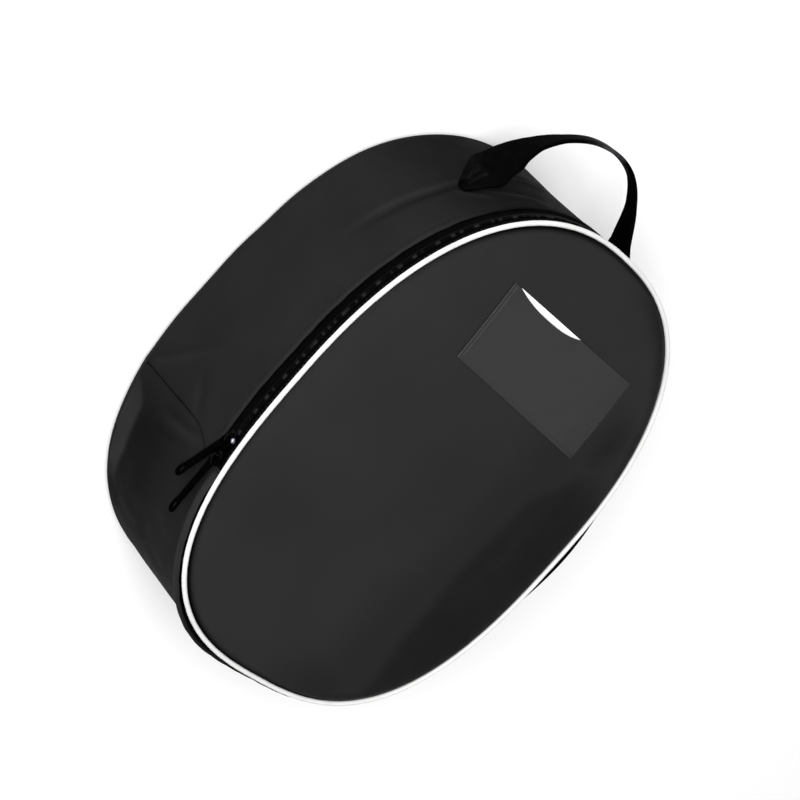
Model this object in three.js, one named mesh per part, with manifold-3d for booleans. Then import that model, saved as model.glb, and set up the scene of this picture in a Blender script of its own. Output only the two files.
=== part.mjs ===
// A zipped mask bag: an oval soft case with a domed front, white piping, a zip round the gusset,
// a webbing handle over the top and a clear card pocket on the front.
// Millimetres. The bag lies on its back: +Z points out of the front panel, +Y towards the handle
// and the origin is the middle of the back panel's outer face.
import * as THREE from "three";
import { mergeVertices } from "three/addons/utils/BufferGeometryUtils.js";
import Module from "manifold-3d";

const wasm = await Module();
wasm.setup();

// Driving dimensions
const PANEL_WIDTH = 314;
const PANEL_HEIGHT = 400;
const TOP_SQUARENESS = 2.35;
const BOTTOM_SQUARENESS = 2.73;
const SEAM_HEIGHT = 144;
const DOME_RISE = 16;
const DOME_FULLNESS = 2.6;
const CLOTH = 2;
const GAP = 0.3;
const BACK_ROUNDING = 10;

// Gusset: seams where the zipped upper strip meets the plain lower strip
const GUSSET_SEAM_Y = -88;
const GUSSET_FOOT = BACK_ROUNDING;

// The side seams run higher up the sides at the back than at the zip, drawing the cloth near them along
const SEAM_LEAN = { shift: 10, from: 88, to: 124, reach: 60 };

// Piping
const PIPING_RADIUS = 2.2;
const PIPING_OFFSET = PIPING_RADIUS + GAP;
const GUSSET_TOP = SEAM_HEIGHT - PIPING_RADIUS - GAP;

// Zip: two tapes with a coil between them, set back from the cloth
const FRONT_TAPE_WIDTH = 5;
const COIL_WIDTH = 5.4;
const REAR_TAPE_WIDTH = 6;
const TAPE_SETBACK = 0.9;
const TAPE_THICKNESS = 1.2;
const COIL_SETBACK = 1.2;
const COIL_THICKNESS = 3;
const COIL_TOP = GUSSET_TOP - FRONT_TAPE_WIDTH - GAP;
const COIL_MIDDLE = COIL_TOP - COIL_WIDTH / 2;
const REAR_TAPE_TOP = COIL_TOP - COIL_WIDTH - GAP;
const UPPER_STRIP_TOP = REAR_TAPE_TOP - REAR_TAPE_WIDTH - GAP;

// Sliders and pull tabs
const ZIP_PULLS = [
  { name: "upper", y: -66.8, swing: 29, lean: 1.5 },
  { name: "lower", y: -82.8, swing: 12.5, lean: 1.5 },
];
const SLIDER_LENGTH = 12;
const SLIDER_WIDTH = 7.6;
const SLIDER_CORNER = 1.5;
const PLATE_THICKNESS = 1.2;
const OUTER_PLATE_LIFT = 0.8;
const INNER_PLATE_DEPTH = 4.2;
const SKIRT_WIDTH = 0.8;
const SKIRT_REACH = 1.4;
const SKIRT_LENGTH = 9;
const POST_SIZE = 2.4;
const BAIL_WIDTH = 1.8;
const BAIL_SPAN = 7.2;
const BAIL_HEIGHT = 4.0;
const BAIL_WIRE = 1.1;
const BAIL_SHOULDER = 1.4;
const HINGE_LIFT = 3.6;
const PULL_LENGTH = 54;
const PULL_THICKNESS = 1.4;
const PULL_END_WIDTH = 7;
const PULL_SHANK_WIDTH = 6;
const PULL_EYE_WIDTH = 7.2;
const PULL_EYE_LENGTH = 5.5;
const PULL_EYE_HOLE_WIDTH = 5;
const PULL_EYE_HOLE_LENGTH = 4.6;
const PULL_BAR = 0.7;
const PULL_SHANK_START = 10;
const PULL_TIP_HOLE = { from_end: 6.5, half_length: 2.7, half_width: 1.3 };

// Handle webbing
const HANDLE_WIDTH = 44;
const HANDLE_GRIP_WIDTH = 12;
const HANDLE_THICKNESS = 2.4;
const HANDLE_GRIP_THICKNESS = 3.6;
const HANDLE_TIP_WIDTH = 16;
const HANDLE_POINT_LENGTH = 22;
const HANDLE_ENTRY = 12;
const HANDLE_ENDS = {
  left: { side: -1, tip_x: 113, tip_height: 82, lift_x: 84, lift_height: 69 },
  right: { side: 1, tip_x: 92, tip_height: 78, lift_x: 64, lift_height: 74 },
};

// The handle between its ends: where its middle runs, how high above the back, and how wide it is folded
const HANDLE_ARCH = [
  { x: -79, y: 203, height: 65.5, width: 39 },
  { x: -69, y: 222, height: 65, width: 20 },
  { x: -53, y: 239, height: 66, width: 12 },
  { x: -29, y: 253, height: 66, width: 12 },
  { x: 0, y: 258, height: 66, width: 12 },
  { x: 21, y: 253, height: 67, width: 12 },
  { x: 36, y: 238, height: 71, width: 18 },
  { x: 51, y: 213, height: 73.5, width: 27 },
];

// Card pocket
const POCKET = { left: -76, right: 79, bottom_left: 73, bottom_right: 67, top: 138 };
const POCKET_RIM = 4;
const POCKET_THICKNESS = 0.9;
const POCKET_ROOM = 1.3;
const POCKET_MOUTH = { from: -70, to: 5, dip: 3.6, lift: 1.6, fullness: 2.5 };
const CARD_MARGIN = 7;
const CARD_THICKNESS = 0.6;

// How far the gusset stands outside the front panel's outline, by height above the back
const WALL_SECTIONS = [
  { height: 10, bulge: 9.5 },
  { height: 45, bulge: 8.8 },
  { height: 90, bulge: 6.4 },
  { height: 125, bulge: 4.2 },
  { height: 141, bulge: 3.4 },
];

// Soft folds of the gusset: along is measured round the outline from the top, positive to the right
const GUSSET_FOLDS = [
  { fold: "pull from the handle", along: -188, height: 70, length: 36, width: 11, rise: 2.6 },
  { fold: "slack above the side seam", along: -318, height: 74, length: 15, width: 42, rise: 2.2 },
  { fold: "side seam hollow", along: -352, height: 60, length: 14, width: 45, rise: -2.2 },
  { fold: "slack at the side seam's foot", along: -355, height: 10, length: 35, width: 40, rise: 1.8 },
  { fold: "lower left pulled in", along: -490, height: 25, length: 62, width: 60, rise: -3.3 },
  { fold: "slack left of the handle", along: -148, height: 10, length: 40, width: 40, rise: 1.6 },
  { fold: "upper left pulled in", along: -240, height: 10, length: 20, width: 40, rise: -1.3 },
  { fold: "top pulled in under the handle", along: 30, height: 60, length: 66, width: 60, rise: -6 },
  { fold: "zip flared under the piping", along: 300, height: 141, length: 38, width: 8, rise: 7.5 },
];

// Roll of cloth beside the piping on the lower strip, growing with the distance from the side seam
const SEAM_ROLL = { height: 138.5, width: 5, rise: 3.2, from: 2, to: 24 };

// Soft dents of the front panel
const PANEL_DENTS = [
  { dent: "right of the pocket", x: 122, y: 95, reach_x: 26, reach_y: 22, depth: 3.5 },
  { dent: "right side", x: 128, y: 0, reach_x: 38, reach_y: 48, depth: 5.5 },
  { dent: "lower right", x: 114, y: -98, reach_x: 40, reach_y: 42, depth: 5.5 },
];

// Faceting
const UPPER_STEPS = 52;
const LOWER_STEPS = 28;
const OUTLINE_SAMPLES = 3600;
const PIPING_SIDES = 8;
const PANEL_RINGS = [0.14, 0.36, 0.56, 0.72, 0.85, 0.94, 1];
const UPPER_ROWS = 6;
const ROLL_HEIGHTS = [131, 136, 139];
const ROUNDING_STEPS = 3;
const HANDLE_BASE_STEPS = 9;
const HANDLE_ARCH_STEPS = 30;
const HANDLE_ACROSS = [-0.5, -0.25, 0, 0.25, 0.5];

const radians = THREE.MathUtils.degToRad;

// Materials
function finish(colour, roughness, metalness = 0) {
  return new THREE.MeshStandardMaterial({ color: colour, roughness, metalness });
}

const FINISHES = {
  cloth: finish(0x2c2c2e, 0.75),
  piping: finish(0xf4f4f2, 0.45),
  zip: finish(0x0c0c0d, 0.7),
  coil: finish(0x101011, 0.4),
  metal: finish(0x151516, 0.3, 0.6),
  webbing: finish(0x131314, 0.8),
  vinyl: finish(0x3c3c3e, 0.25),
  card: finish(0xfafafa, 0.6),
};

// A solid through rings of points: neighbouring rings are joined, and open ends are capped
// by a ladder of triangles between the two halves of the end ring.
function loft(rings, closed = false) {
  const size = rings[0].length;
  const positions = rings.flat().flatMap((point) => point.toArray());
  const triangles = [];
  const spans = closed ? rings.length : rings.length - 1;
  for (let ring = 0; ring < spans; ring += 1) {
    const here = ring * size;
    const next = ((ring + 1) % rings.length) * size;
    for (let side = 0; side < size; side += 1) {
      const beside = (side + 1) % size;
      triangles.push(here + side, next + side, next + beside);
      triangles.push(here + side, next + beside, here + beside);
    }
  }
  if (!closed) {
    const last = (rings.length - 1) * size;
    for (let rung = 0; rung < size / 2 - 1; rung += 1) {
      const mirror = size - 1 - rung;
      triangles.push(rung, rung + 1, mirror - 1, rung, mirror - 1, mirror);
      triangles.push(last + rung, last + mirror - 1, last + rung + 1);
      triangles.push(last + rung, last + mirror, last + mirror - 1);
    }
  }
  const geometry = new THREE.BufferGeometry();
  geometry.setAttribute("position", new THREE.Float32BufferAttribute(positions, 3));
  geometry.setIndex(signedVolume(positions, triangles) < 0 ? triangles.reverse() : triangles);
  return geometry;
}

// Six times the volume inside a triangle list, negative where the faces point in
function signedVolume(positions, triangles) {
  const corner = (index) => new THREE.Vector3().fromArray(positions, triangles[index] * 3);
  let total = 0;
  for (let index = 0; index < triangles.length; index += 3) {
    total += corner(index).dot(corner(index + 1).cross(corner(index + 2)));
  }
  return total;
}

// One solid out of several that overlap
function fuse(geometries) {
  const solids = geometries.map((geometry) => {
    const bare = geometry.clone();
    bare.deleteAttribute("normal");
    bare.deleteAttribute("uv");
    const merged = mergeVertices(bare);
    const vertProperties = merged.attributes.position.array;
    const triVerts = new Uint32Array(merged.index.array);
    return new wasm.Manifold(new wasm.Mesh({ numProp: 3, vertProperties, triVerts }));
  });
  const mesh = solids.reduce((whole, piece) => whole.add(piece)).getMesh();
  const geometry = new THREE.BufferGeometry();
  geometry.setAttribute("position", new THREE.BufferAttribute(mesh.vertProperties, 3));
  geometry.setIndex(new THREE.BufferAttribute(mesh.triVerts, 1));
  return geometry;
}

// The front panel's outline: an oval whose upper and lower halves have their own squareness
function ovalPoint(turn) {
  const across = Math.sin(turn);
  const up = Math.cos(turn);
  const power = 2 / (up > 0 ? TOP_SQUARENESS : BOTTOM_SQUARENESS);
  return new THREE.Vector2(
    (PANEL_WIDTH / 2) * Math.sign(across) * Math.abs(across) ** power,
    (PANEL_HEIGHT / 2) * Math.sign(up) * Math.abs(up) ** power,
  );
}

// Lengths round the outline from the top, clockwise as the front is seen
const OUTLINE = Array.from({ length: OUTLINE_SAMPLES + 1 }, (_, sample) =>
  ovalPoint((sample / OUTLINE_SAMPLES) * 2 * Math.PI));
const OUTLINE_LENGTHS = [0];
for (let sample = 1; sample <= OUTLINE_SAMPLES; sample += 1) {
  OUTLINE_LENGTHS.push(OUTLINE_LENGTHS[sample - 1] + OUTLINE[sample].distanceTo(OUTLINE[sample - 1]));
}
const PERIMETER = OUTLINE_LENGTHS[OUTLINE_SAMPLES];

// Point and outward direction of the outline at a length round it from the top
function outlineAt(along) {
  const wanted = THREE.MathUtils.euclideanModulo(along, PERIMETER);
  let low = 0;
  let high = OUTLINE_SAMPLES;
  while (high - low > 1) {
    const middle = (low + high) >> 1;
    if (OUTLINE_LENGTHS[middle] > wanted) {
      high = middle;
    } else {
      low = middle;
    }
  }
  const share = (wanted - OUTLINE_LENGTHS[low]) / (OUTLINE_LENGTHS[high] - OUTLINE_LENGTHS[low]);
  const point = OUTLINE[low].clone().lerp(OUTLINE[high], share);
  const power = (point.y > 0 ? TOP_SQUARENESS : BOTTOM_SQUARENESS) - 1;
  const slope = (value, half) => (Math.sign(value) * Math.abs(value / half) ** power) / half;
  const outward = new THREE.Vector2(slope(point.x, PANEL_WIDTH / 2), slope(point.y, PANEL_HEIGHT / 2));
  return { point, outward: outward.normalize() };
}

// Length round the right side of the outline where it first meets a test
function alongWhere(test) {
  return OUTLINE_LENGTHS[OUTLINE.findIndex(test)];
}

const SEAM_ALONG = alongWhere((point) => point.x > 0 && point.y < GUSSET_SEAM_Y);

// Smooth curve through the rows of a table
function curveThrough(rows, key, value, at) {
  const last = rows.length - 2;
  const after = rows.findIndex((row) => row[key] > at);
  const index = after < 0 ? last : THREE.MathUtils.clamp(after - 1, 0, last);
  const slopeAt = (row) => {
    const before = rows[Math.max(row - 1, 0)];
    const beyond = rows[Math.min(row + 1, rows.length - 1)];
    return (beyond[value] - before[value]) / (beyond[key] - before[key]);
  };
  const start = rows[index];
  const end = rows[index + 1];
  const span = end[key] - start[key];
  const t = THREE.MathUtils.clamp((at - start[key]) / span, 0, 1);
  const towards = end[value] - start[value];
  const rising = slopeAt(index) * span * t * (1 - t) ** 2;
  const settling = slopeAt(index + 1) * span * t ** 2 * (1 - t);
  return start[value] + towards * t ** 2 * (3 - 2 * t) + rising - settling;
}

function hump(distance, reach) {
  return Math.exp(-((distance / reach) ** 2));
}

// Signed distance round the outline, the short way
function alongFrom(along, centre) {
  return THREE.MathUtils.euclideanModulo(along - centre + PERIMETER / 2, PERIMETER) - PERIMETER / 2;
}

// How far the gusset's outer face stands outside the outline
function wallOffset(along, height) {
  let offset = curveThrough(WALL_SECTIONS, "height", "bulge", height);
  for (const fold of GUSSET_FOLDS) {
    const reach = hump(alongFrom(along, fold.along), fold.length);
    offset += fold.rise * reach * hump(height - fold.height, fold.width);
  }
  const below = Math.abs(alongFrom(along, 0)) - SEAM_ALONG;
  const onLowerStrip = THREE.MathUtils.smoothstep(below, SEAM_ROLL.from, SEAM_ROLL.to);
  return offset + onLowerStrip * SEAM_ROLL.rise * hump(height - SEAM_ROLL.height, SEAM_ROLL.width);
}

// How far a place on the gusset is drawn along the outline by the lean of the nearer side seam
function seamShift(along, height) {
  const fromTop = alongFrom(along, 0);
  const near = hump(Math.abs(fromTop) - SEAM_ALONG, SEAM_LEAN.reach);
  const behind = 1 - THREE.MathUtils.smoothstep(height, SEAM_LEAN.from, SEAM_LEAN.to);
  return -Math.sign(fromTop) * SEAM_LEAN.shift * near * behind;
}

// Point of the gusset's outer face, lifted off it along the outline's outward direction
function wallPoint(along, height, lift = 0) {
  const { point, outward } = outlineAt(along);
  point.addScaledVector(outward, wallOffset(along, height) + lift);
  return new THREE.Vector3(point.x, point.y, height);
}

// Height of the front panel's outer face
function panelHeight(x, y) {
  const power = y > 0 ? TOP_SQUARENESS : BOTTOM_SQUARENESS;
  const sum = Math.abs((2 * x) / PANEL_WIDTH) ** power + Math.abs((2 * y) / PANEL_HEIGHT) ** power;
  const reach = Math.min(sum ** (1 / power), 1);
  let height = SEAM_HEIGHT + CLOTH / 2 + DOME_RISE * (1 - reach ** DOME_FULLNESS);
  for (const dent of PANEL_DENTS) {
    const depth = dent.depth * (1 - reach ** 6);
    height -= depth * hump(x - dent.x, dent.reach_x) * hump(y - dent.y, dent.reach_y);
  }
  return height;
}

// Even lengths between two places round the outline
function spread(from, to, steps) {
  return Array.from({ length: steps + 1 }, (_, step) => from + ((to - from) * step) / steps);
}

const UPPER_STATIONS = spread(-SEAM_ALONG + GAP / 2, SEAM_ALONG - GAP / 2, UPPER_STEPS);
const LOWER_STATIONS = spread(SEAM_ALONG + GAP / 2, PERIMETER - SEAM_ALONG - GAP / 2, LOWER_STEPS);
const UPPER_HEIGHTS = spread(GUSSET_FOOT, UPPER_STRIP_TOP, UPPER_ROWS);
const LOWER_HEIGHTS = [...UPPER_HEIGHTS, ...ROLL_HEIGHTS, GUSSET_TOP];
const RING_STATIONS = [
  ...spread(-SEAM_ALONG, SEAM_ALONG, UPPER_STEPS),
  ...spread(SEAM_ALONG, PERIMETER - SEAM_ALONG, LOWER_STEPS).slice(1, -1),
];

function frontPanel() {
  const ring = (scale, drop) => RING_STATIONS.map((along) => {
    const { x, y } = outlineAt(along).point.multiplyScalar(scale);
    return new THREE.Vector3(x, y, panelHeight(x, y) - drop);
  });
  const outer = PANEL_RINGS.map((scale) => ring(scale, 0));
  const inner = PANEL_RINGS.map((scale) => ring(scale, CLOTH)).reverse();
  return loft([...outer, ...inner]);
}

// A flat back whose rim turns up to meet the gusset
function backPanel() {
  const rim = (angle, inset) => RING_STATIONS.map((along) => {
    const { point, outward } = outlineAt(along);
    const radius = BACK_ROUNDING - inset;
    const reach = wallOffset(along, GUSSET_FOOT) - BACK_ROUNDING + radius * Math.sin(angle);
    point.addScaledVector(outward, reach);
    const height = BACK_ROUNDING - radius * Math.cos(angle);
    return new THREE.Vector3(point.x, point.y, Math.min(height, GUSSET_FOOT - GAP));
  });
  const angles = spread(0, Math.PI / 2, ROUNDING_STEPS);
  const outer = angles.map((angle) => rim(angle, 0));
  const inner = angles.map((angle) => rim(angle, CLOTH)).reverse();
  return loft([...outer, ...inner]);
}

// A strip of the gusset: the wall's section carried round a stretch of the outline
function gussetStrip(stations, heights) {
  const place = (along, lift) => (height) => wallPoint(along + seamShift(along, height), height, lift);
  return loft(stations.map((along) => [
    ...heights.map(place(along, 0)),
    ...heights.map(place(along, -CLOTH)).reverse(),
  ]));
}

function piping() {
  return loft(RING_STATIONS.map((along) => {
    const { point, outward } = outlineAt(along);
    return Array.from({ length: PIPING_SIDES }, (_, side) => {
      const angle = (2 * Math.PI * (side + 0.5)) / PIPING_SIDES;
      const reach = PIPING_OFFSET + PIPING_RADIUS * Math.cos(angle);
      const place = point.clone().addScaledVector(outward, reach);
      return new THREE.Vector3(place.x, place.y, SEAM_HEIGHT + PIPING_RADIUS * Math.sin(angle));
    });
  }), true);
}

function zipTape(top, width) {
  return loft(UPPER_STATIONS.map((along) => [
    wallPoint(along, top, -TAPE_SETBACK),
    wallPoint(along, top - width, -TAPE_SETBACK),
    wallPoint(along, top - width, -TAPE_SETBACK - TAPE_THICKNESS),
    wallPoint(along, top, -TAPE_SETBACK - TAPE_THICKNESS),
  ]));
}

// The closed coil, from the post of the upper slider round to the other end of the zip
function zipCoil() {
  const start = -alongWhere((point) => point.x > 0 && point.y < ZIP_PULLS[0].y) + POST_SIZE / 2 + GAP;
  const stations = [start, ...UPPER_STATIONS.filter((along) => along > start + COIL_WIDTH)];
  return loft(stations.map((along) => Array.from({ length: 6 }, (_, side) => {
    const angle = (side * Math.PI) / 3;
    const height = COIL_MIDDLE + (COIL_WIDTH / 2) * Math.cos(angle);
    return wallPoint(along, height, -COIL_SETBACK + (COIL_THICKNESS / 2) * Math.sin(angle));
  })));
}

// A flat plate with its outline in X and Y, between two heights
function plate(outline, bottom, top, holes = []) {
  const shape = new THREE.Shape(outline);
  shape.holes = holes.map((hole) => new THREE.Path(hole));
  const settings = { depth: top - bottom, bevelEnabled: false };
  return new THREE.ExtrudeGeometry(shape, settings).translate(0, 0, bottom);
}

function points(pairs) {
  return pairs.map(([x, y]) => new THREE.Vector2(x, y));
}

// Zip slider about its own middle: X along the zip, Y across it, Z off the bag
function sliderBody() {
  const long = SLIDER_LENGTH / 2;
  const wide = SLIDER_WIDTH / 2;
  const outline = points([
    [-long + SLIDER_CORNER, -wide], [long - SLIDER_CORNER, -wide],
    [long, -wide + SLIDER_CORNER], [long, wide - SLIDER_CORNER],
    [long - SLIDER_CORNER, wide], [-long + SLIDER_CORNER, wide],
    [-long, wide - SLIDER_CORNER], [-long, -wide + SLIDER_CORNER],
  ]);
  const plateTop = OUTER_PLATE_LIFT + PLATE_THICKNESS;
  const sink = PLATE_THICKNESS / 2;
  const outerPlate = plate(outline, OUTER_PLATE_LIFT, plateTop);
  const innerPlate = plate(outline, -INNER_PLATE_DEPTH, -INNER_PLATE_DEPTH + PLATE_THICKNESS);
  const postHeight = OUTER_PLATE_LIFT + INNER_PLATE_DEPTH;
  const post = new THREE.BoxGeometry(POST_SIZE, POST_SIZE, postHeight);
  post.translate(0, 0, OUTER_PLATE_LIFT + sink - postHeight / 2);
  const skirts = [-1, 1].map((side) => {
    const skirt = new THREE.BoxGeometry(SKIRT_LENGTH, SKIRT_WIDTH, SKIRT_REACH + sink);
    return skirt.translate(0, side * (wide - SKIRT_WIDTH / 2), OUTER_PLATE_LIFT + (sink - SKIRT_REACH) / 2);
  });
  const half = BAIL_SPAN / 2;
  const crown = plateTop + BAIL_HEIGHT;
  const inside = half - BAIL_WIRE;
  const ceiling = crown - BAIL_WIRE;
  const arch = points([
    [-half, plateTop - sink], [-inside, plateTop - sink],
    [-inside, ceiling - BAIL_SHOULDER / 2], [-inside + BAIL_SHOULDER / 2, ceiling],
    [inside - BAIL_SHOULDER / 2, ceiling], [inside, ceiling - BAIL_SHOULDER / 2],
    [inside, plateTop - sink], [half, plateTop - sink],
    [half, crown - BAIL_SHOULDER], [half - BAIL_SHOULDER, crown],
    [-half + BAIL_SHOULDER, crown], [-half, crown - BAIL_SHOULDER],
  ]);
  const bail = plate(arch, -BAIL_WIDTH / 2, BAIL_WIDTH / 2).rotateX(Math.PI / 2);
  return fuse([outerPlate, innerPlate, post, ...skirts, bail]);
}

// Pull tab about its hinge bar: X along the tab, Y across it, Z off the bag
function pullTab() {
  const eye = PULL_EYE_WIDTH / 2;
  const shank = PULL_SHANK_WIDTH / 2;
  const end = PULL_END_WIDTH / 2;
  const roundEnd = spread(-Math.PI / 2, Math.PI / 2, 8).map((angle) =>
    [PULL_LENGTH - end + end * Math.cos(angle), end * Math.sin(angle)]);
  const outline = points([
    [-PULL_BAR, -eye], [PULL_EYE_LENGTH, -eye], [PULL_SHANK_START, -shank],
    ...roundEnd,
    [PULL_SHANK_START, shank], [PULL_EYE_LENGTH, eye], [-PULL_BAR, eye],
  ]);
  const hole = PULL_EYE_HOLE_WIDTH / 2;
  const eyeHole = points([
    [PULL_BAR, -hole], [PULL_BAR, hole], [PULL_EYE_HOLE_LENGTH, hole],
    [PULL_EYE_HOLE_LENGTH + hole / 2, hole / 2], [PULL_EYE_HOLE_LENGTH + hole / 2, -hole / 2],
    [PULL_EYE_HOLE_LENGTH, -hole],
  ]);
  const tipHole = Array.from({ length: 8 }, (_, side) => {
    const angle = (-2 * Math.PI * side) / 8;
    return new THREE.Vector2(
      PULL_LENGTH - PULL_TIP_HOLE.from_end + PULL_TIP_HOLE.half_length * Math.cos(angle),
      PULL_TIP_HOLE.half_width * Math.sin(angle),
    );
  });
  return plate(outline, -PULL_THICKNESS / 2, PULL_THICKNESS / 2, [eyeHole, tipHole]);
}

// Webbing: a flat strap sewn to the gusset at two pointed ends, folded narrow at the grip between them
function handle() {
  const placeOf = (x) => alongWhere((point) => point.x > x);
  const middleOf = ({ tip_x, tip_height, lift_x, lift_height }, along) =>
    THREE.MathUtils.mapLinear(along, placeOf(tip_x), placeOf(lift_x), tip_height, lift_height);
  const base = (end) => {
    const tip = placeOf(end.tip_x);
    return spread(tip, placeOf(end.lift_x), HANDLE_BASE_STEPS).map((along) => {
      const point = Math.sin((Math.min((tip - along) / HANDLE_POINT_LENGTH, 1) * Math.PI) / 2);
      const width = THREE.MathUtils.lerp(HANDLE_TIP_WIDTH, HANDLE_WIDTH, point);
      const row = (raise) => HANDLE_ACROSS.map((across) =>
        wallPoint(end.side * along, middleOf(end, along) + across * width, GAP + raise));
      return [...row(HANDLE_THICKNESS), ...row(0).reverse()];
    });
  };
  const feet = (end) => [HANDLE_ENTRY, 0].map((before) => {
    const along = placeOf(end.lift_x) + before;
    return wallPoint(end.side * along, middleOf(end, along), GAP + HANDLE_THICKNESS / 2);
  });
  const { left, right } = HANDLE_ENDS;
  const crossing = HANDLE_ARCH.map(({ x, y, height }) => new THREE.Vector3(x, y, height));
  const route = [...feet(left), ...crossing, ...feet(right).reverse()];
  const whole = [HANDLE_WIDTH, HANDLE_WIDTH];
  const widths = [...whole, ...HANDLE_ARCH.map((row) => row.width), ...whole];
  const curve = new THREE.CatmullRomCurve3(route);
  const entry = 1 / (route.length - 1);
  const arch = spread(entry, 1 - entry, HANDLE_ARCH_STEPS).slice(1, -1).map((t) => {
    const centre = curve.getPoint(t);
    const tangent = curve.getTangent(t);
    const outward = new THREE.Vector3(-tangent.y, tangent.x, 0).normalize();
    const before = Math.floor(t / entry);
    const width = THREE.MathUtils.lerp(widths[before], widths[before + 1], t / entry - before);
    const grip = (HANDLE_WIDTH - width) / (HANDLE_WIDTH - HANDLE_GRIP_WIDTH);
    const half = THREE.MathUtils.lerp(HANDLE_THICKNESS, HANDLE_GRIP_THICKNESS, grip) / 2;
    const row = (raise) => HANDLE_ACROSS.map((across) => centre.clone()
      .addScaledVector(outward, raise)
      .setZ(centre.z + across * width));
    return [...row(half), ...row(-half).reverse()];
  });
  return loft([...base(left), ...arch, ...base(right).reverse()]);
}

// A patch lying on the front panel between two lifts above it
function panelPatch(columns, rowsAt, under, over) {
  return loft(columns.map((x) => {
    const rows = rowsAt(x);
    const place = (lift) => (y) => new THREE.Vector3(x, y, panelHeight(x, y) + lift(x, y));
    return [...rows.map(place(over)), ...rows.map(place(under)).reverse()];
  }));
}

// How wide open the pocket's mouth is, from 0 at its ends to 1 at its middle
function mouthOpen(x) {
  const share = THREE.MathUtils.clamp((x - POCKET_MOUTH.from) / (POCKET_MOUTH.to - POCKET_MOUTH.from), 0, 1);
  return 1 - Math.abs(2 * share - 1) ** POCKET_MOUTH.fullness;
}

// Where the pocket's bottom seam runs
function pocketBottom(x) {
  return THREE.MathUtils.mapLinear(x, POCKET.left, POCKET.right, POCKET.bottom_left, POCKET.bottom_right);
}

// Clear pocket sewn down along three sides, slack along its upper edge
function cardWindow() {
  const sewn = POCKET_RIM + POCKET_ROOM;
  const columns = [
    POCKET.left, POCKET.left + POCKET_RIM,
    ...spread(POCKET.left + sewn, POCKET.right - sewn, 14),
    POCKET.right - POCKET_RIM, POCKET.right,
  ];
  const rowsAt = (x) => {
    const bottom = pocketBottom(x);
    const top = POCKET.top - POCKET_MOUTH.dip * mouthOpen(x);
    return [bottom, bottom + POCKET_RIM, ...spread(bottom + sewn, top, 4)];
  };
  const under = (x, y) => {
    const fromEdge = Math.min(x - POCKET.left, POCKET.right - x, y - pocketBottom(x)) - POCKET_RIM;
    const room = THREE.MathUtils.clamp(fromEdge / POCKET_ROOM, 0, 1) * (POCKET_ROOM - GAP);
    const slack = THREE.MathUtils.smoothstep(y, POCKET.top - 30, POCKET.top);
    return GAP + room + slack * mouthOpen(x) * POCKET_MOUTH.lift;
  };
  const over = (x, y) => Math.max(under(x, y), POCKET_ROOM) + POCKET_THICKNESS;
  return panelPatch(columns, rowsAt, under, over);
}

// Blank card in the pocket
function nameCard() {
  const columns = spread(POCKET.left + CARD_MARGIN, POCKET.right - CARD_MARGIN, 12);
  const rows = spread(POCKET.bottom_left + CARD_MARGIN, POCKET.top, 4);
  return panelPatch(columns, () => rows, () => GAP, () => GAP + CARD_THICKNESS);
}

function part(name, geometry, material) {
  geometry.computeVertexNormals();
  const mesh = new THREE.Mesh(geometry, material);
  mesh.name = name;
  return mesh;
}

// A slider on the left of the zip and its pull tab, swung towards the back and leaning on the wall
function zipPull({ name, y, swing, lean }) {
  const along = -alongWhere((point) => point.x > 0 && point.y < y);
  const { outward } = outlineAt(along);
  const off = new THREE.Vector3(outward.x, outward.y, 0);
  const front = new THREE.Vector3(0, 0, 1);
  const down = new THREE.Vector3().crossVectors(front, off);
  const seat = new THREE.Group();
  seat.position.copy(wallPoint(along, COIL_MIDDLE));
  seat.quaternion.setFromRotationMatrix(new THREE.Matrix4().makeBasis(down, front, off));
  const hinge = new THREE.Group();
  hinge.position.set(0, 0, HINGE_LIFT);
  hinge.rotation.set(0, radians(lean), radians(-swing), "ZYX");
  hinge.add(part(`pull_${name}`, pullTab(), FINISHES.metal));
  seat.add(part(`slider_${name}`, sliderBody(), FINISHES.metal), hinge);
  return seat;
}

const bag = new THREE.Group();
bag.add(
  part("front_panel", frontPanel(), FINISHES.cloth),
  part("back_panel", backPanel(), FINISHES.cloth),
  part("gusset_upper", gussetStrip(UPPER_STATIONS, UPPER_HEIGHTS), FINISHES.cloth),
  part("gusset_lower", gussetStrip(LOWER_STATIONS, LOWER_HEIGHTS), FINISHES.cloth),
  part("piping", piping(), FINISHES.piping),
  part("zip_tape_front", zipTape(GUSSET_TOP, FRONT_TAPE_WIDTH), FINISHES.zip),
  part("zip_tape_rear", zipTape(REAR_TAPE_TOP, REAR_TAPE_WIDTH), FINISHES.zip),
  part("zip_coil", zipCoil(), FINISHES.coil),
  part("handle", handle(), FINISHES.webbing),
  part("card_window", cardWindow(), FINISHES.vinyl),
  part("name_card", nameCard(), FINISHES.card),
  ...ZIP_PULLS.map(zipPull),
);

export default bag;
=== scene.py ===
"""A zipped mask bag, dressed in cloth, piping, zip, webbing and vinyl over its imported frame.

Metres throughout. The bag lies on its back: +Z points out of the front panel, +Y towards the handle
and +X to the right as the front is seen. Places on the gusset are a length round the front seam,
measured from the top and positive to the right, and a height above the floor.
"""
import logging
import math
from collections.abc import Callable, Sequence
from dataclasses import dataclass
from enum import Enum
from functools import cached_property

import bmesh
import bpy
import numpy as np
from mathutils import Matrix


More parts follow.
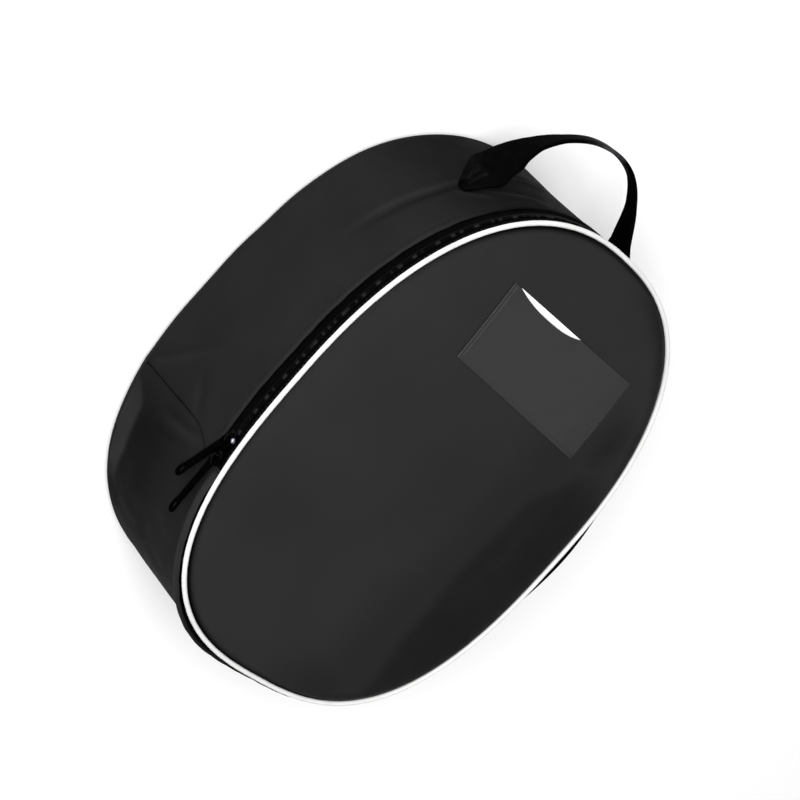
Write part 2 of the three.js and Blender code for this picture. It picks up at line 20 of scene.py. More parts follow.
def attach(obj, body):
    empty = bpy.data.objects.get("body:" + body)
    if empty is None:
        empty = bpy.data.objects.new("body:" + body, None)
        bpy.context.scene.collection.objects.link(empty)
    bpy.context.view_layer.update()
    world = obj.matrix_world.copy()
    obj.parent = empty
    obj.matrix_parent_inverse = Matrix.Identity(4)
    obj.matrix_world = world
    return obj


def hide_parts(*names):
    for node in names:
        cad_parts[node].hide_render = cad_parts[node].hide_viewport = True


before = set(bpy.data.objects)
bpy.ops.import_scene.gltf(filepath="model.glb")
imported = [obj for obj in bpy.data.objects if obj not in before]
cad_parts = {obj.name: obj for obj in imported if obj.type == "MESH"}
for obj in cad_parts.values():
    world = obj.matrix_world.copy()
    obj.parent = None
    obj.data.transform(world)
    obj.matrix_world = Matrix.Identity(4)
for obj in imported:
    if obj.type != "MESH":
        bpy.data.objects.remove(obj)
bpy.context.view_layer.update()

Array = np.ndarray
Colour = tuple[float, float, float]
Span = tuple[float, float]
Line = Callable[[Array], tuple[Array, Array]]
# A map from points to painted shade (above 0) and painted highlights (below 0).
PaintedLightMap = Callable[[Array], Array]

LOG = logging.getLogger("mask_bag")
WELD = 2e-6
GAP = 0.0003
CLOTH = 0.002
UP = np.array([0.0, 0.0, 1.0])
EDGE_SHARES = np.array([0.0, 0.06, 0.2, 0.42, 0.7, 1.0])
NOISE_LOW, NOISE_HIGH = 0.3, 0.7
COLOUR_DETAIL, GLOSS_DETAIL, GRAIN_DETAIL = 4.0, 3.0, 2.0
TWILL_SLANT, TWILL_DEPTH = 0.5, 0.6
BLOCK_SQUARENESS, BLOCK_SIDES = 5.0, 40
BLOCK_SHARES = np.array([0.0, 0.4, 0.75])
BLOCK_TURNS = 5
RING_SQUARENESS, RING_SIDES = 5.0, 24


class Body(Enum):
    """Bodies that the pieces ride on."""

    BAG = "bag"
    UPPER_PULL = "upper_pull"
    LOWER_PULL = "lower_pull"


class Relief(Enum):
    """What a finish's fine surface is made of."""

    WEAVE = "pillows of a plain weave"
    RIBS = "ribs of a webbing"
    GRAIN = "grain of coated or moulded plastic"
    PLY = "plies of a twisted thread"


class Recipe:
    """A node material in the making, around one principled shader."""

    def __init__(self, name: str, settings: dict[str, object]) -> None:
        """Starts a material and sets the shader's constant sockets.

        Args:
            name: The material's name.
            settings: Values by socket name.
        """
        self.material = bpy.data.materials.new(name)
        self.material.use_nodes = True
        self.tree = self.material.node_tree
        self.shader = self.tree.nodes["Principled BSDF"]
        for socket, value in settings.items():
            self.shader.inputs[socket].default_value = value

    def node(self, kind: str, inputs: dict, **settings: object) -> bpy.types.Node:
        """Adds a node.

        Args:
            kind: The node's type, without its usual prefix.
            inputs: Values or other nodes' sockets, by socket name or number.
            settings: The node's own properties.

        Returns:
            The new node.
        """
        made = self.tree.nodes.new("ShaderNode" + kind)
        for name, value in settings.items():
            setattr(made, name, value)
        for socket, value in inputs.items():
            self.feed(made.inputs[socket], value)
        return made

    def feed(self, socket: bpy.types.NodeSocket, value: object) -> None:
        """Links a socket to another node's output, or sets its value."""
        if isinstance(value, bpy.types.NodeSocket):
            self.tree.links.new(value, socket)
        else:
            socket.default_value = value

    def sums(self, operation: str, first: object, second: object = 0.0) -> bpy.types.NodeSocket:
        """One step of arithmetic on two numbers or sockets.

        Args:
            operation: The step's name, such as MULTIPLY.
            first: The first number or socket.
            second: The second number or socket.

        Returns:
            The socket that holds the result.
        """
        return self.node("Math", {0: first, 1: second}, operation=operation).outputs[0]

    def blotches(self, size: float, detail: float, low: float, high: float) -> bpy.types.NodeSocket:
        """Soft random patches over the object.

        Args:
            size: Width of a patch.
            detail: How many finer layers are added.
            low: Value in the lowest patches.
            high: Value in the highest patches.

        Returns:
            The socket that holds the value.
        """
        place = self.node("TexCoord", {}).outputs["Object"]
        noise = self.node("TexNoise", {"Vector": place, "Scale": 1 / size, "Detail": detail})
        found = {"Value": noise.outputs["Fac"], "From Min": NOISE_LOW, "From Max": NOISE_HIGH}
        return self.node("MapRange", {**found, "To Min": low, "To Max": high}).outputs["Result"]


@dataclass(frozen=True)
class Finish:
    """A finish: two near colours in soft patches, a fine relief and a gloss.

    The relief's height is worked out from the piece's flat map in metres, except for grain, which is
    noise over the object. Light and shade are painted into the colour by a per-point attribute: where
    it is 1 the colour loses this finish's share, a painted shade, and where it is below 0 the colour
    grows, a painted highlight.
    """

    name: str
    dark: Colour
    light: Colour
    roughness: float
    relief: Relief
    pitch: float
    depth: float
    specular: float = 0.5
    patch: float = 0.03
    uneven: float = 0.05
    painted_light: float = 0.0

    @cached_property
    def material(self) -> bpy.types.Material:
        """The node material, made once."""
        recipe = Recipe(self.name, {"Specular IOR Level": self.specular})
        share = recipe.blotches(self.patch, COLOUR_DETAIL, 0.0, 1.0)
        mix = recipe.node("Mix", {}, data_type="RGBA")
        mix_inputs = [socket for socket in mix.inputs if socket.enabled]
        for socket, value in zip(mix_inputs, (share, (*self.dark, 1.0), (*self.light, 1.0))):
            recipe.feed(socket, value)
        shown = next(socket for socket in mix.outputs if socket.enabled)
        # Painted light: the colour is scaled by 1 less this finish's share times the attribute, darker for
        # painted shade and lighter below 0 for painted highlights.
        if self.painted_light:
            lying = recipe.node("Attribute", {}, attribute_name="painted_light").outputs["Fac"]
            kept = recipe.sums("SUBTRACT", 1.0, recipe.sums("MULTIPLY", lying, self.painted_light))
            scaled = recipe.node("VectorMath", {0: shown, "Scale": kept}, operation="SCALE")
            shown = scaled.outputs["Vector"]
        recipe.feed(recipe.shader.inputs["Base Color"], shown)
        low, high = self.roughness - self.uneven, self.roughness + self.uneven
        gloss = recipe.blotches(self.patch / 3, GLOSS_DETAIL, low, high)
        recipe.feed(recipe.shader.inputs["Roughness"], gloss)
        relief = {"Strength": 1.0, "Distance": self.depth, "Height": self.height(recipe)}
        bump = recipe.node("Bump", relief)
        recipe.feed(recipe.shader.inputs["Normal"], bump.outputs["Normal"])
        return recipe.material

    def height(self, recipe: Recipe) -> bpy.types.NodeSocket:
        """Height of the fine relief, from 0 to 1.

        Weave is |sin(u)·sin(v)|, a pillow at each crossing. Ribs are |sin(v)| broken by a slanted
        |sin(u + v / 2)|. Plies are |sin(u + v)|. Here u and v are the flat map over the pitch, times pi.

        Args:
            recipe: The material in the making.

        Returns:
            The socket that holds the height.
        """
        if self.relief is Relief.GRAIN:
            return recipe.blotches(self.pitch, GRAIN_DETAIL, 0.0, 1.0)
        place = recipe.node("UVMap", {}, uv_map="flat").outputs["UV"]
        split = recipe.node("SeparateXYZ", {"Vector": place})
        u, v = (recipe.sums("MULTIPLY", split.outputs[axis], math.pi / self.pitch) for axis in "XY")
        if self.relief is Relief.WEAVE:
            crossing = recipe.sums("MULTIPLY", recipe.sums("SINE", u), recipe.sums("SINE", v))
            return recipe.sums("ABSOLUTE", crossing)
        if self.relief is Relief.PLY:
            return recipe.sums("ABSOLUTE", recipe.sums("SINE", recipe.sums("ADD", u, v)))
        slant = recipe.sums("ADD", u, recipe.sums("MULTIPLY", v, TWILL_SLANT))
        rib = recipe.sums("ABSOLUTE", recipe.sums("SINE", v))
        twill = recipe.sums("ABSOLUTE", recipe.sums("SINE", slant))
        broken = recipe.sums("ADD", recipe.sums("MULTIPLY", twill, TWILL_DEPTH), 1 - TWILL_DEPTH)
        return recipe.sums("MULTIPLY", rib, broken)


def grey(level: float, blue: float) -> Colour:
    """A grey with its own blue."""
    return level, level, blue


# The front cloth's colour loses up to this share where painted shade lies on it.
CLOTH_FINISH = Finish("charcoal_cloth", grey(0.0164, 0.0170), grey(0.0181, 0.0187), 0.36, Relief.WEAVE,
                      0.0006, 0.00006, specular=0.08, patch=0.05, painted_light=0.71)
# The front's cloth made darker: painted shade for the gusset and back, which take less light.
SHADED_SIDE_FINISH = Finish("charcoal_cloth_painted_side_shade", grey(0.0123, 0.0128), grey(0.0143, 0.0148), 0.60, Relief.WEAVE,
                     0.0006, 0.00006, specular=0.012, patch=0.04, painted_light=0.72)
PIPING_FINISH = Finish("white_piping", grey(0.62, 0.615), grey(0.68, 0.675), 0.36, Relief.GRAIN,
                       0.0012, 0.00004, specular=0.4, patch=0.02)
TAPE_FINISH = Finish("black_zip_tape", grey(0.0006, 0.0007), grey(0.0010, 0.0011), 0.8, Relief.RIBS,
                     0.0009, 0.0001, specular=0.015, patch=0.01)
# The coil's colour takes painted glints on its teeth.
COIL_FINISH = Finish("black_nylon_coil", grey(0.0006, 0.0007), grey(0.0010, 0.0011), 0.36, Relief.GRAIN,
                     0.0006, 0.00002, specular=0.012, patch=0.01, painted_light=1.0)
TAB_FINISH = Finish("black_lacquered_tab", grey(0.0004, 0.0005), grey(0.0008, 0.0009), 0.30, Relief.GRAIN,
                    0.0008, 0.00002, specular=0.001, patch=0.004)
# The casting's colour takes a painted glint.
CASTING_FINISH = Finish("black_lacquered_casting", grey(0.0004, 0.0005), grey(0.0008, 0.0009), 0.20,
                        Relief.GRAIN, 0.0008, 0.00001, specular=0.02, patch=0.004, painted_light=1.0)
# The webbing's colour takes a painted highlight.
WEBBING_FINISH = Finish("black_webbing", grey(0.0005, 0.0006), grey(0.0014, 0.0015), 0.46, Relief.RIBS,
                        0.0017, 0.0003, specular=0.003, patch=0.006, painted_light=1.0)
VINYL_FINISH = Finish("smoky_vinyl", grey(0.0172, 0.0179), grey(0.0184, 0.0191), 0.36, Relief.GRAIN,
                      0.02, 0.0001, specular=0.31, patch=0.04)
HEM_FINISH = Finish("vinyl_hem", grey(0.0178, 0.0185), grey(0.0194, 0.0201), 0.36, Relief.GRAIN,
                    0.006, 0.0001, specular=0.31, patch=0.02)
CARD_FINISH = Finish("white_card", grey(0.88, 0.88), grey(0.93, 0.93), 0.6, Relief.GRAIN,
                     0.0008, 0.00002, specular=0.3)
THREAD_FINISH = Finish("charcoal_thread", grey(0.010, 0.0105), grey(0.014, 0.0146), 0.5, Relief.PLY,
                       0.0005, 0.00008, specular=0.03, patch=0.004)
TACK_FINISH = Finish("tack_thread", grey(0.0010, 0.0011), grey(0.0110, 0.0115), 0.5, Relief.PLY,
                     0.0005, 0.00008, specular=0.02, patch=0.010)
POCKET_THREAD_FINISH = Finish("pocket_thread", grey(0.016, 0.0165), grey(0.028, 0.029), 0.4, Relief.PLY,
                              0.0005, 0.00008, specular=0.20, patch=0.012)


def hump(distance: Array, reach: float) -> Array:
    """Bell of height 1: e to the minus square of distance over reach."""
    return np.exp(-((distance / reach) ** 2))


def ease(value: Array, low: float, high: float) -> Array:
    """Smooth step from 0 at low to 1 at high."""
    share = np.clip((value - low) / (high - low), 0.0, 1.0)
    return share * share * (3.0 - 2.0 * share)


def unit(vectors: Array) -> Array:
    """Vectors of length 1 in the same directions."""
    return vectors / np.linalg.norm(vectors, axis=-1, keepdims=True)


def run_of(line: Array) -> Array:
    """Lengths along a line of points, from 0 at its first."""
    steps = np.linalg.norm(np.diff(line, axis=0), axis=-1)
    return np.concatenate([[0.0], np.cumsum(steps)])


def rounded(distance: Array, radius: float) -> Array:
    """Share of the full thickness at a distance from a rounded edge: a quarter circle of that radius."""
    share = np.clip(distance / radius, 0.0, 1.0)
    return np.sqrt(np.maximum(1.0 - (1.0 - share) ** 2, 0.0))


def with_edges(low: float, high: float, steps: int, radius: float) -> Array:
    """Even stations between two ends, with close ones along a rounded edge at each end.

    Args:
        low: First station.
        high: Last station.
        steps: Number of even steps between the rounded edges.
        radius: Reach of each rounded edge.

    Returns:
        The stations, in order.
    """
    edge = radius * EDGE_SHARES
    middle = np.linspace(low + radius, high - radius, steps + 1)[1:-1]
    return np.concatenate([low + edge, middle, high - edge[::-1]])


def ripple(place: Array, lengths: Sequence[float]) -> Array:
    """Irregular wave between about -1 and 1: the mean of sines of several wavelengths, each shifted."""
    waves = [np.sin(2 * np.pi * place / length + 1.7 * index) for index, length in enumerate(lengths)]
    return sum(waves) / len(waves)


def curve_through(keys: Array, values: Array, at: Array) -> Array:
    """Smooth curve through the rows of a table.

    Between two rows it is a cubic, whose slope at a row is that of the chord from the row before to
    the row after.

    Args:
        keys: Where the rows stand, in rising order.
        values: Their values.
        at: Where the curve is wanted.

    Returns:
        The curve's values there.
    """
    number = np.arange(len(keys))
    before = np.maximum(number - 1, 0)
    after = np.minimum(number + 1, len(keys) - 1)
    slopes = (values[after] - values[before]) / (keys[after] - keys[before])
    low = np.clip(np.searchsorted(keys, at, side="right") - 1, 0, len(keys) - 2)
    span = keys[low + 1] - keys[low]
    t = np.clip((at - keys[low]) / span, 0.0, 1.0)
    rising = slopes[low] * span * t * (1 - t) ** 2
    settling = slopes[low + 1] * span * t**2 * (1 - t)
    return values[low] + (values[low + 1] - values[low]) * t * t * (3 - 2 * t) + rising - settling


@dataclass
class Grid:
    """A surface on a grid: points by row and column, and their places on the flat cloth."""

    points: Array
    flat: Array

    @classmethod
    def plain(cls, points: Array) -> "Grid":
        """A grid whose flat map is its arc length along the columns' and the rows' first lines."""
        return cls(points, np.stack(np.meshgrid(run_of(points[0]), run_of(points[:, 0])), axis=-1))

    def normals(self, wraps: bool) -> Array:
        """Unit normals from central differences; a row drawn to one point takes its neighbour's mean.

        Args:
            wraps: Whether the last column is the first one again.

        Returns:
            One normal for each point.
        """
        down = np.gradient(self.points, axis=0)
        if wraps:
            ring = self.points[:, :-1]
            along = np.roll(ring, -1, axis=1) - np.roll(ring, 1, axis=1)
            along = np.concatenate([along, along[:, :1]], axis=1)
        else:
            along = np.gradient(self.points, axis=1)
        normal = np.cross(along, down)
        for pole, beside in ((0, 1), (-1, -2)):
            if np.ptp(self.points[pole], axis=0).max() < WELD:
                normal[pole] = normal[beside].mean(axis=0)
        length = np.linalg.norm(normal, axis=-1, keepdims=True)
        return normal / np.maximum(length, 1e-15)

    def thickened(self, half: Array, wraps: bool = False) -> list["Grid"]:
        """Both faces of a wall whose middle is this surface.

        Args:
            half: Half the wall's thickness at each point, 0 along its free edges.
            wraps: Whether the last column is the first one again.

        Returns:
            The two faces, which meet along the free edges.
        """
        step = self.normals(wraps) * half[..., None]
        return [Grid(self.points + side * step, self.flat) for side in (1, -1)]

    def placed(self, basis: Array, origin: Array) -> "Grid":
        """The same grid in a turned and moved frame, whose axes are the basis' columns."""
        return Grid(self.points @ basis.T + origin, self.flat)


def quads(rows: int, columns: int) -> Array:
    """Corner numbers of a grid's faces, row by row."""
    corner = np.arange(rows * columns).reshape(rows, columns)
    sides = [corner[:-1, :-1], corner[:-1, 1:], corner[1:, 1:], corner[1:, :-1]]
    return np.stack(sides, axis=-1).reshape(-1, 4)


def make_mesh(name: str, grids: Sequence[Grid], crisp: float | None = None) -> bpy.types.Object:
    """Joins grids into one closed mesh: meeting points are welded and faces turned outwards.

    Args:
        name: The piece's name.
        grids: The surfaces.
        crisp: Angle in degrees past which an edge stays sharp, or None for smooth all over.

    Returns:
        The new object.
    """
    sizes = [grid.points.shape[0] * grid.points.shape[1] for grid in grids]
    starts = np.concatenate([[0], np.cumsum(sizes)[:-1]])
    points = np.concatenate([grid.points.reshape(-1, 3) for grid in grids])
    flat = np.concatenate([grid.flat.reshape(-1, 2) for grid in grids])
    faces = np.concatenate([quads(*grid.points.shape[:2]) + start for grid, start in zip(grids, starts)])
    mesh = bpy.data.meshes.new(name)
    mesh.vertices.add(len(points))
    mesh.vertices.foreach_set("co", points.astype(np.float32).ravel())
    mesh.loops.add(faces.size)
    mesh.loops.foreach_set("vertex_index", faces.astype(np.int32).ravel())
    mesh.polygons.add(len(faces))
    mesh.polygons.foreach_set("loop_start", np.arange(0, faces.size, 4, dtype=np.int32))
    mesh.uv_layers.new(name="flat").data.foreach_set("uv", flat[faces.ravel()].astype(np.float32).ravel())
    mesh.update(calc_edges=True)
    weld(mesh)
    mesh.polygons.foreach_set("use_smooth", np.ones(len(mesh.polygons), dtype=bool))
    if crisp is not None:
        mesh.set_sharp_from_angle(angle=math.radians(crisp))
    piece = bpy.data.objects.new(name, mesh)
    bpy.context.scene.collection.objects.link(piece)
    return piece


def weld(mesh: bpy.types.Mesh) -> None:
    """Merges points that meet and turns the faces of each closed shell outwards."""
    work = bmesh.new()
    work.from_mesh(mesh)
    bmesh.ops.remove_doubles(work, verts=work.verts, dist=WELD)
    bmesh.ops.recalc_face_normals(work, faces=work.faces)
    work.to_mesh(mesh)
    work.free()


def settle(piece: bpy.types.Object, finish: Finish, replaces: Sequence[str] = (),
           body: Body = Body.BAG) -> bpy.types.Object:
    """Gives a piece its finish and its body, and hides the imported nodes that it stands for.

    Args:
        piece: The piece.
        finish: What it is made of.
        replaces: Nodes that it stands for.
        body: The body that it rides on.

    Returns:
        The piece.
    """
    piece.data.materials.append(finish.material)
    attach(piece, body.value)
    if replaces:
        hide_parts(*replaces)
    triangles = sum(len(polygon.vertices) - 2 for polygon in piece.data.polygons)
    LOG.info("%s: %s triangles of %s on %s", piece.name, triangles, finish.name, body.value)
    return piece


def capped(rings: Array, ends: Sequence[Array]) -> Grid:
    """Closes a tube with a point at each end.

    Args:
        rings: The tube's points, ring by ring.
        ends: The two end points.

    Returns:
        The closed surface.
    """
    first, last = (np.broadcast_to(end, rings[:1].shape) for end in ends)
    return Grid.plain(np.concatenate([first, rings, last]))


def sweep(path: Array, side: Array, lift: Array, section: Array) -> Grid:
    """Carries a closed section along a path and draws it to a point at both ends.

    A point is the path's plus the section's first number along side and its second along lift.

    Args:
        path: Points of the path.
        side: The section's first direction at each.
        lift: The section's second direction at each.
        section: The section's points, closed.

    Returns:
        The closed surface.
    """
    offsets = section[None, :, :1] * side[:, None] + section[None, :, 1:] * lift[:, None]
    return capped(path[:, None] + offsets, (path[0], path[-1]))


def superoval(half_x: float, half_y: float, squareness: float, sides: int,
              lower: float | None = None) -> Array:
    """A closed oval |x / half_x|^n + |y / half_y|^n = 1, squarer as n grows past 2.

    Args:
        half_x: Half its width.
        half_y: Half its height.
        squareness: The power n.
        sides: Number of its sides.
        lower: The power n of its lower half, if another.

    Returns:
        Its points from the top by the right, with the first one again at the end.
    """
    turn = np.linspace(0.0, 2 * np.pi, sides + 1)
    across, up = np.sin(turn), np.cos(turn)
    power = 2.0 / np.where(up > 0, squareness, lower or squareness)
    x = half_x * np.sign(across) * np.abs(across) ** power
    y = half_y * np.sign(up) * np.abs(up) ** power
    return np.stack([x, y], axis=-1)


def pillow(half_x: float, half_y: float, low: float, high: float, crown: float = 0.0,
           squareness: float = BLOCK_SQUARENESS) -> Grid:
    """A rounded block: an edge profile carried round a square oval, from top middle to bottom middle.

    Args:
        half_x: Half its length.
        half_y: Half its width.
        low: Height of its bottom.
        high: Height of its top's rim.
        crown: How far the top's middle stands above its rim.
        squareness: Squareness of its plan.

    Returns:
        The closed surface.
    """
    rim = min(0.3 * (high - low), 0.25 * half_y)
    turn = np.linspace(0.0, np.pi / 2, BLOCK_TURNS)
    inset = np.concatenate([rim * (1 - np.sin(turn)), rim * (1 - np.cos(turn))])
    heights = np.concatenate([high - rim * (1 - np.cos(turn)), low + rim * (1 - np.sin(turn))])
    outline = superoval(1.0, 1.0, squareness, BLOCK_SIDES)
    edge = np.array([half_x, half_y]) - inset[:, None]
    top = [np.append(edge[0] * share, high + crown * (1 - share**2)) for share in BLOCK_SHARES]
    bottom = [np.append(edge[-1] * share, low) for share in BLOCK_SHARES[::-1]]
    profile = np.concatenate([top, np.column_stack([edge, heights]), bottom])
    plan = outline[None] * profile[:, None, :2]
    rise = np.broadcast_to(profile[:, None, 2:], (*plan.shape[:2], 1))
    return Grid.plain(np.concatenate([plan, rise], axis=-1))


def ring_plate(hole: Array, rim: Array, half: float) -> Grid:
    """A flat ring with rounded edges between a hole's outline and its rim's.

    A point is the hole's plus a share of the way to the rim, at a height; share and height go once
    round a rounded rectangle.

    Args:
        hole: Outline of the hole.
        rim: Outline of the rim, with as many points.
        half: Half the ring's thickness.

    Returns:
        The closed surface.
    """
    section = superoval(1.0, 1.0, RING_SQUARENESS, RING_SIDES)
    share = (section[:, :1] + 1.0) / 2.0
    plan = hole[None] + share[..., None] * (rim - hole)[None]
    rise = np.broadcast_to(half * section[:, 1:, None], (*plan.shape[:2], 1))
    return Grid.plain(np.concatenate([plan, rise], axis=-1))


def write_painted_light(mesh: bpy.types.Mesh, painted_light: PaintedLightMap) -> None:
    """Writes a piece's painted light, shade or highlights, to its points.

    Args:
        mesh: The piece.
        painted_light: Gives the painted shade, or below 0 the painted highlight, at points in the bag's
            frame.
    """
    place = np.empty(3 * len(mesh.vertices), dtype=np.float32)
    mesh.vertices.foreach_get("co", place)
    lying = painted_light(place.reshape(-1, 3).astype(float))
    mesh.attributes.new("painted_light", "FLOAT", "POINT").data.foreach_set("value", lying.astype(np.float32))


@dataclass(frozen=True)
class Outline:
    """The front seam's oval, with its own squareness above and below its middle.

    At turn t it is (half width · |sin t|^p, half height · |cos t|^p) with the signs of sin and cos,
    and p is 2 over the squareness. Lengths round it run from the top, positive to the right.
    """

    width: float = 0.314
    height: float = 0.400
    top_squareness: float = 2.35
    bottom_squareness: float = 2.73
    samples: int = 14400

    @cached_property
    def table(self) -> tuple[Array, Array]:
        """Lengths from the top, and the points there."""
        points = superoval(self.width / 2, self.height / 2, self.top_squareness, self.samples,
                           self.bottom_squareness)
        return run_of(points), points

    @property
    def perimeter(self) -> float:
        """Length once round."""
        return float(self.table[0][-1])

    @property
    def half_size(self) -> float:
        """Half the oval's shorter size."""
        return min(self.width, self.height) / 2

    @property
    def area(self) -> float:
        """Area inside, from the cross products of neighbouring points."""
        x, y = self.table[1].T
        return float(abs(np.sum(x[:-1] * y[1:] - x[1:] * y[:-1])) / 2)

    def at(self, along: Array) -> tuple[Array, Array]:
        """Points of the oval and its outward directions.

        Args:
            along: Lengths round it from the top.

        Returns:
            Points and unit directions, in X and Y.
        """
        lengths, points = self.table
        wanted = np.mod(along, self.perimeter)
        place = np.stack([np.interp(wanted, lengths, points[:, axis]) for axis in (0, 1)], axis=-1)
        half = np.array([self.width / 2, self.height / 2])
        power = np.where(place[..., 1:] > 0, self.top_squareness, self.bottom_squareness) - 1
        slope = np.sign(place) * np.abs(place / half) ** power / half
        return place, unit(slope)

    def outward(self, along: Array) -> Array:
        """Outward directions at lengths round the oval, level in the bag's frame."""
        return np.append(self.at(along)[1], 0 * along[:, None], axis=1)

    def reach(self, x: Array, y: Array) -> Array:
        """How far out a place lies, from 0 in the middle to 1 on the oval."""
        power = np.where(y > 0, self.top_squareness, self.bottom_squareness)
        total = np.abs(2 * x / self.width) ** power + np.abs(2 * y / self.height) ** power
        return np.minimum(total ** (1 / power), 1.0)

    def along_at_y(self, y: float) -> float:
        """Length down the right side to a height on the page."""
        lengths, points = self.table
        right = slice(0, self.samples // 2 + 1)
        return float(np.interp(-y, -points[right, 1], lengths[right]))

    def along_at_x(self, x: float) -> float:
        """Length along the upper right quarter to a place across the page."""
        lengths, points = self.table
        quarter = slice(0, self.samples // 4 + 1)
        return float(np.interp(x, points[quarter, 0], lengths[quarter]))


@dataclass(frozen=True)
class Fold:
    """A soft swelling or hollow of the gusset round one place."""

    along: float
    height: float
    length: float
    width: float
    rise: float


@dataclass(frozen=True)
class Crease:
    """A crease of the gusset between two places, each a length along and a height."""

    start: tuple[float, float]
    end: tuple[float, float]
    width: float
    rise: float
    # Share of painted highlight on the ridge; a negative share paints shade.
    painted_highlight: float = 0.0


@dataclass(frozen=True)
class SidePaintedLight:
    """Painted shade and highlights on the side cloth, by length from the top and height.

    A span is a pair of places between which a share eases from none to full.
    """

    # Painted shade: round the top, on a faint band before each side seam and on the lower strip above a
    # slanted line.
    top: float = 1.05
    top_end: Span = (0.084, 0.178)
    before: float = 0.17
    before_start: Span = (0.280, 0.322)
    before_end: Span = (0.335, 0.370)
    lower_start: Span = (0.335, 0.405)
    front_loss: float = 0.56
    front_start: Span = (0.055, 0.110)
    corner: float = 0.25
    corner_start: Span = (0.445, 0.480)
    bottom_loss: float = 0.42
    bottom_start: Span = (0.500, 0.560)
    line_rise: float = 0.031
    line_start: Span = (0.364, 0.390)
    line_fall: float = 0.012
    line_bend: Span = (0.415, 0.465)
    line_edge: Span = (-0.003, 0.004)
    line_end: Span = (0.436, 0.466)
    # Painted highlights: below that line, on the hem beside the zip and on the roll beside the piping.
    highlight_band: float = 0.64
    highlight_band_start: Span = (0.374, 0.400)
    highlight_band_end: Span = (0.450, 0.474)
    hem: float = 0.45
    hem_edge: Span = (0.1215, 0.1235)
    hem_start: Span = (0.10, 0.18)
    roll: float = 1.1
    roll_start: float = 0.006
    roll_edge: Span = (0.1330, 0.1365)
    roll_end: Span = (0.470, 0.520)

    def lying(self, from_top: Array, z: Array, seam: float) -> Array:
        """Sum of the bands of painted light, each a share times smooth steps along the outline and up the
        side.

        Painted shade lies round the top, on a faint band before each side seam, and on the lower strip
        above a slanted line, most at the lower corners and less towards the front and the bottom end.
        Painted highlights lie below that line, on the hem beside the zip and on the roll beside the piping.

        Args:
            from_top: Lengths from the top, either way.
            z: Heights.
            seam: Length from the top to a side seam.

        Returns:
            0 as on most of the side, 1 for full painted shade, less than 0 for painted highlights.
        """
        top = self.top * (1 - ease(from_top, *self.top_end))
        before = self.before * ease(from_top, *self.before_start) * (1 - ease(from_top, *self.before_end))
        lower = ease(from_top, *self.lower_start) * (1 - self.front_loss * ease(z, *self.front_start))
        lower = lower + self.corner * ease(from_top, *self.corner_start)
        lower = lower * (1 - self.bottom_loss * ease(from_top, *self.bottom_start))
        line = self.line_rise * ease(from_top, *self.line_start)
        line = line - self.line_fall * ease(from_top, *self.line_bend)
        above = np.maximum(ease(z - line, *self.line_edge), ease(from_top, *self.line_end))
        highlight_band = ease(from_top, *self.highlight_band_start) * (1 - ease(from_top, *self.highlight_band_end))
        hem = ease(z, *self.hem_edge) * (from_top < seam) * ease(from_top, *self.hem_start)
        beside = ease(from_top, seam, seam + self.roll_start)
        roll = beside * ease(z, *self.roll_edge) * (1 - ease(from_top, *self.roll_end))
        down = top + before + lower * above
        return down - self.highlight_band * highlight_band * (1 - above) - self.hem * hem - self.roll * roll


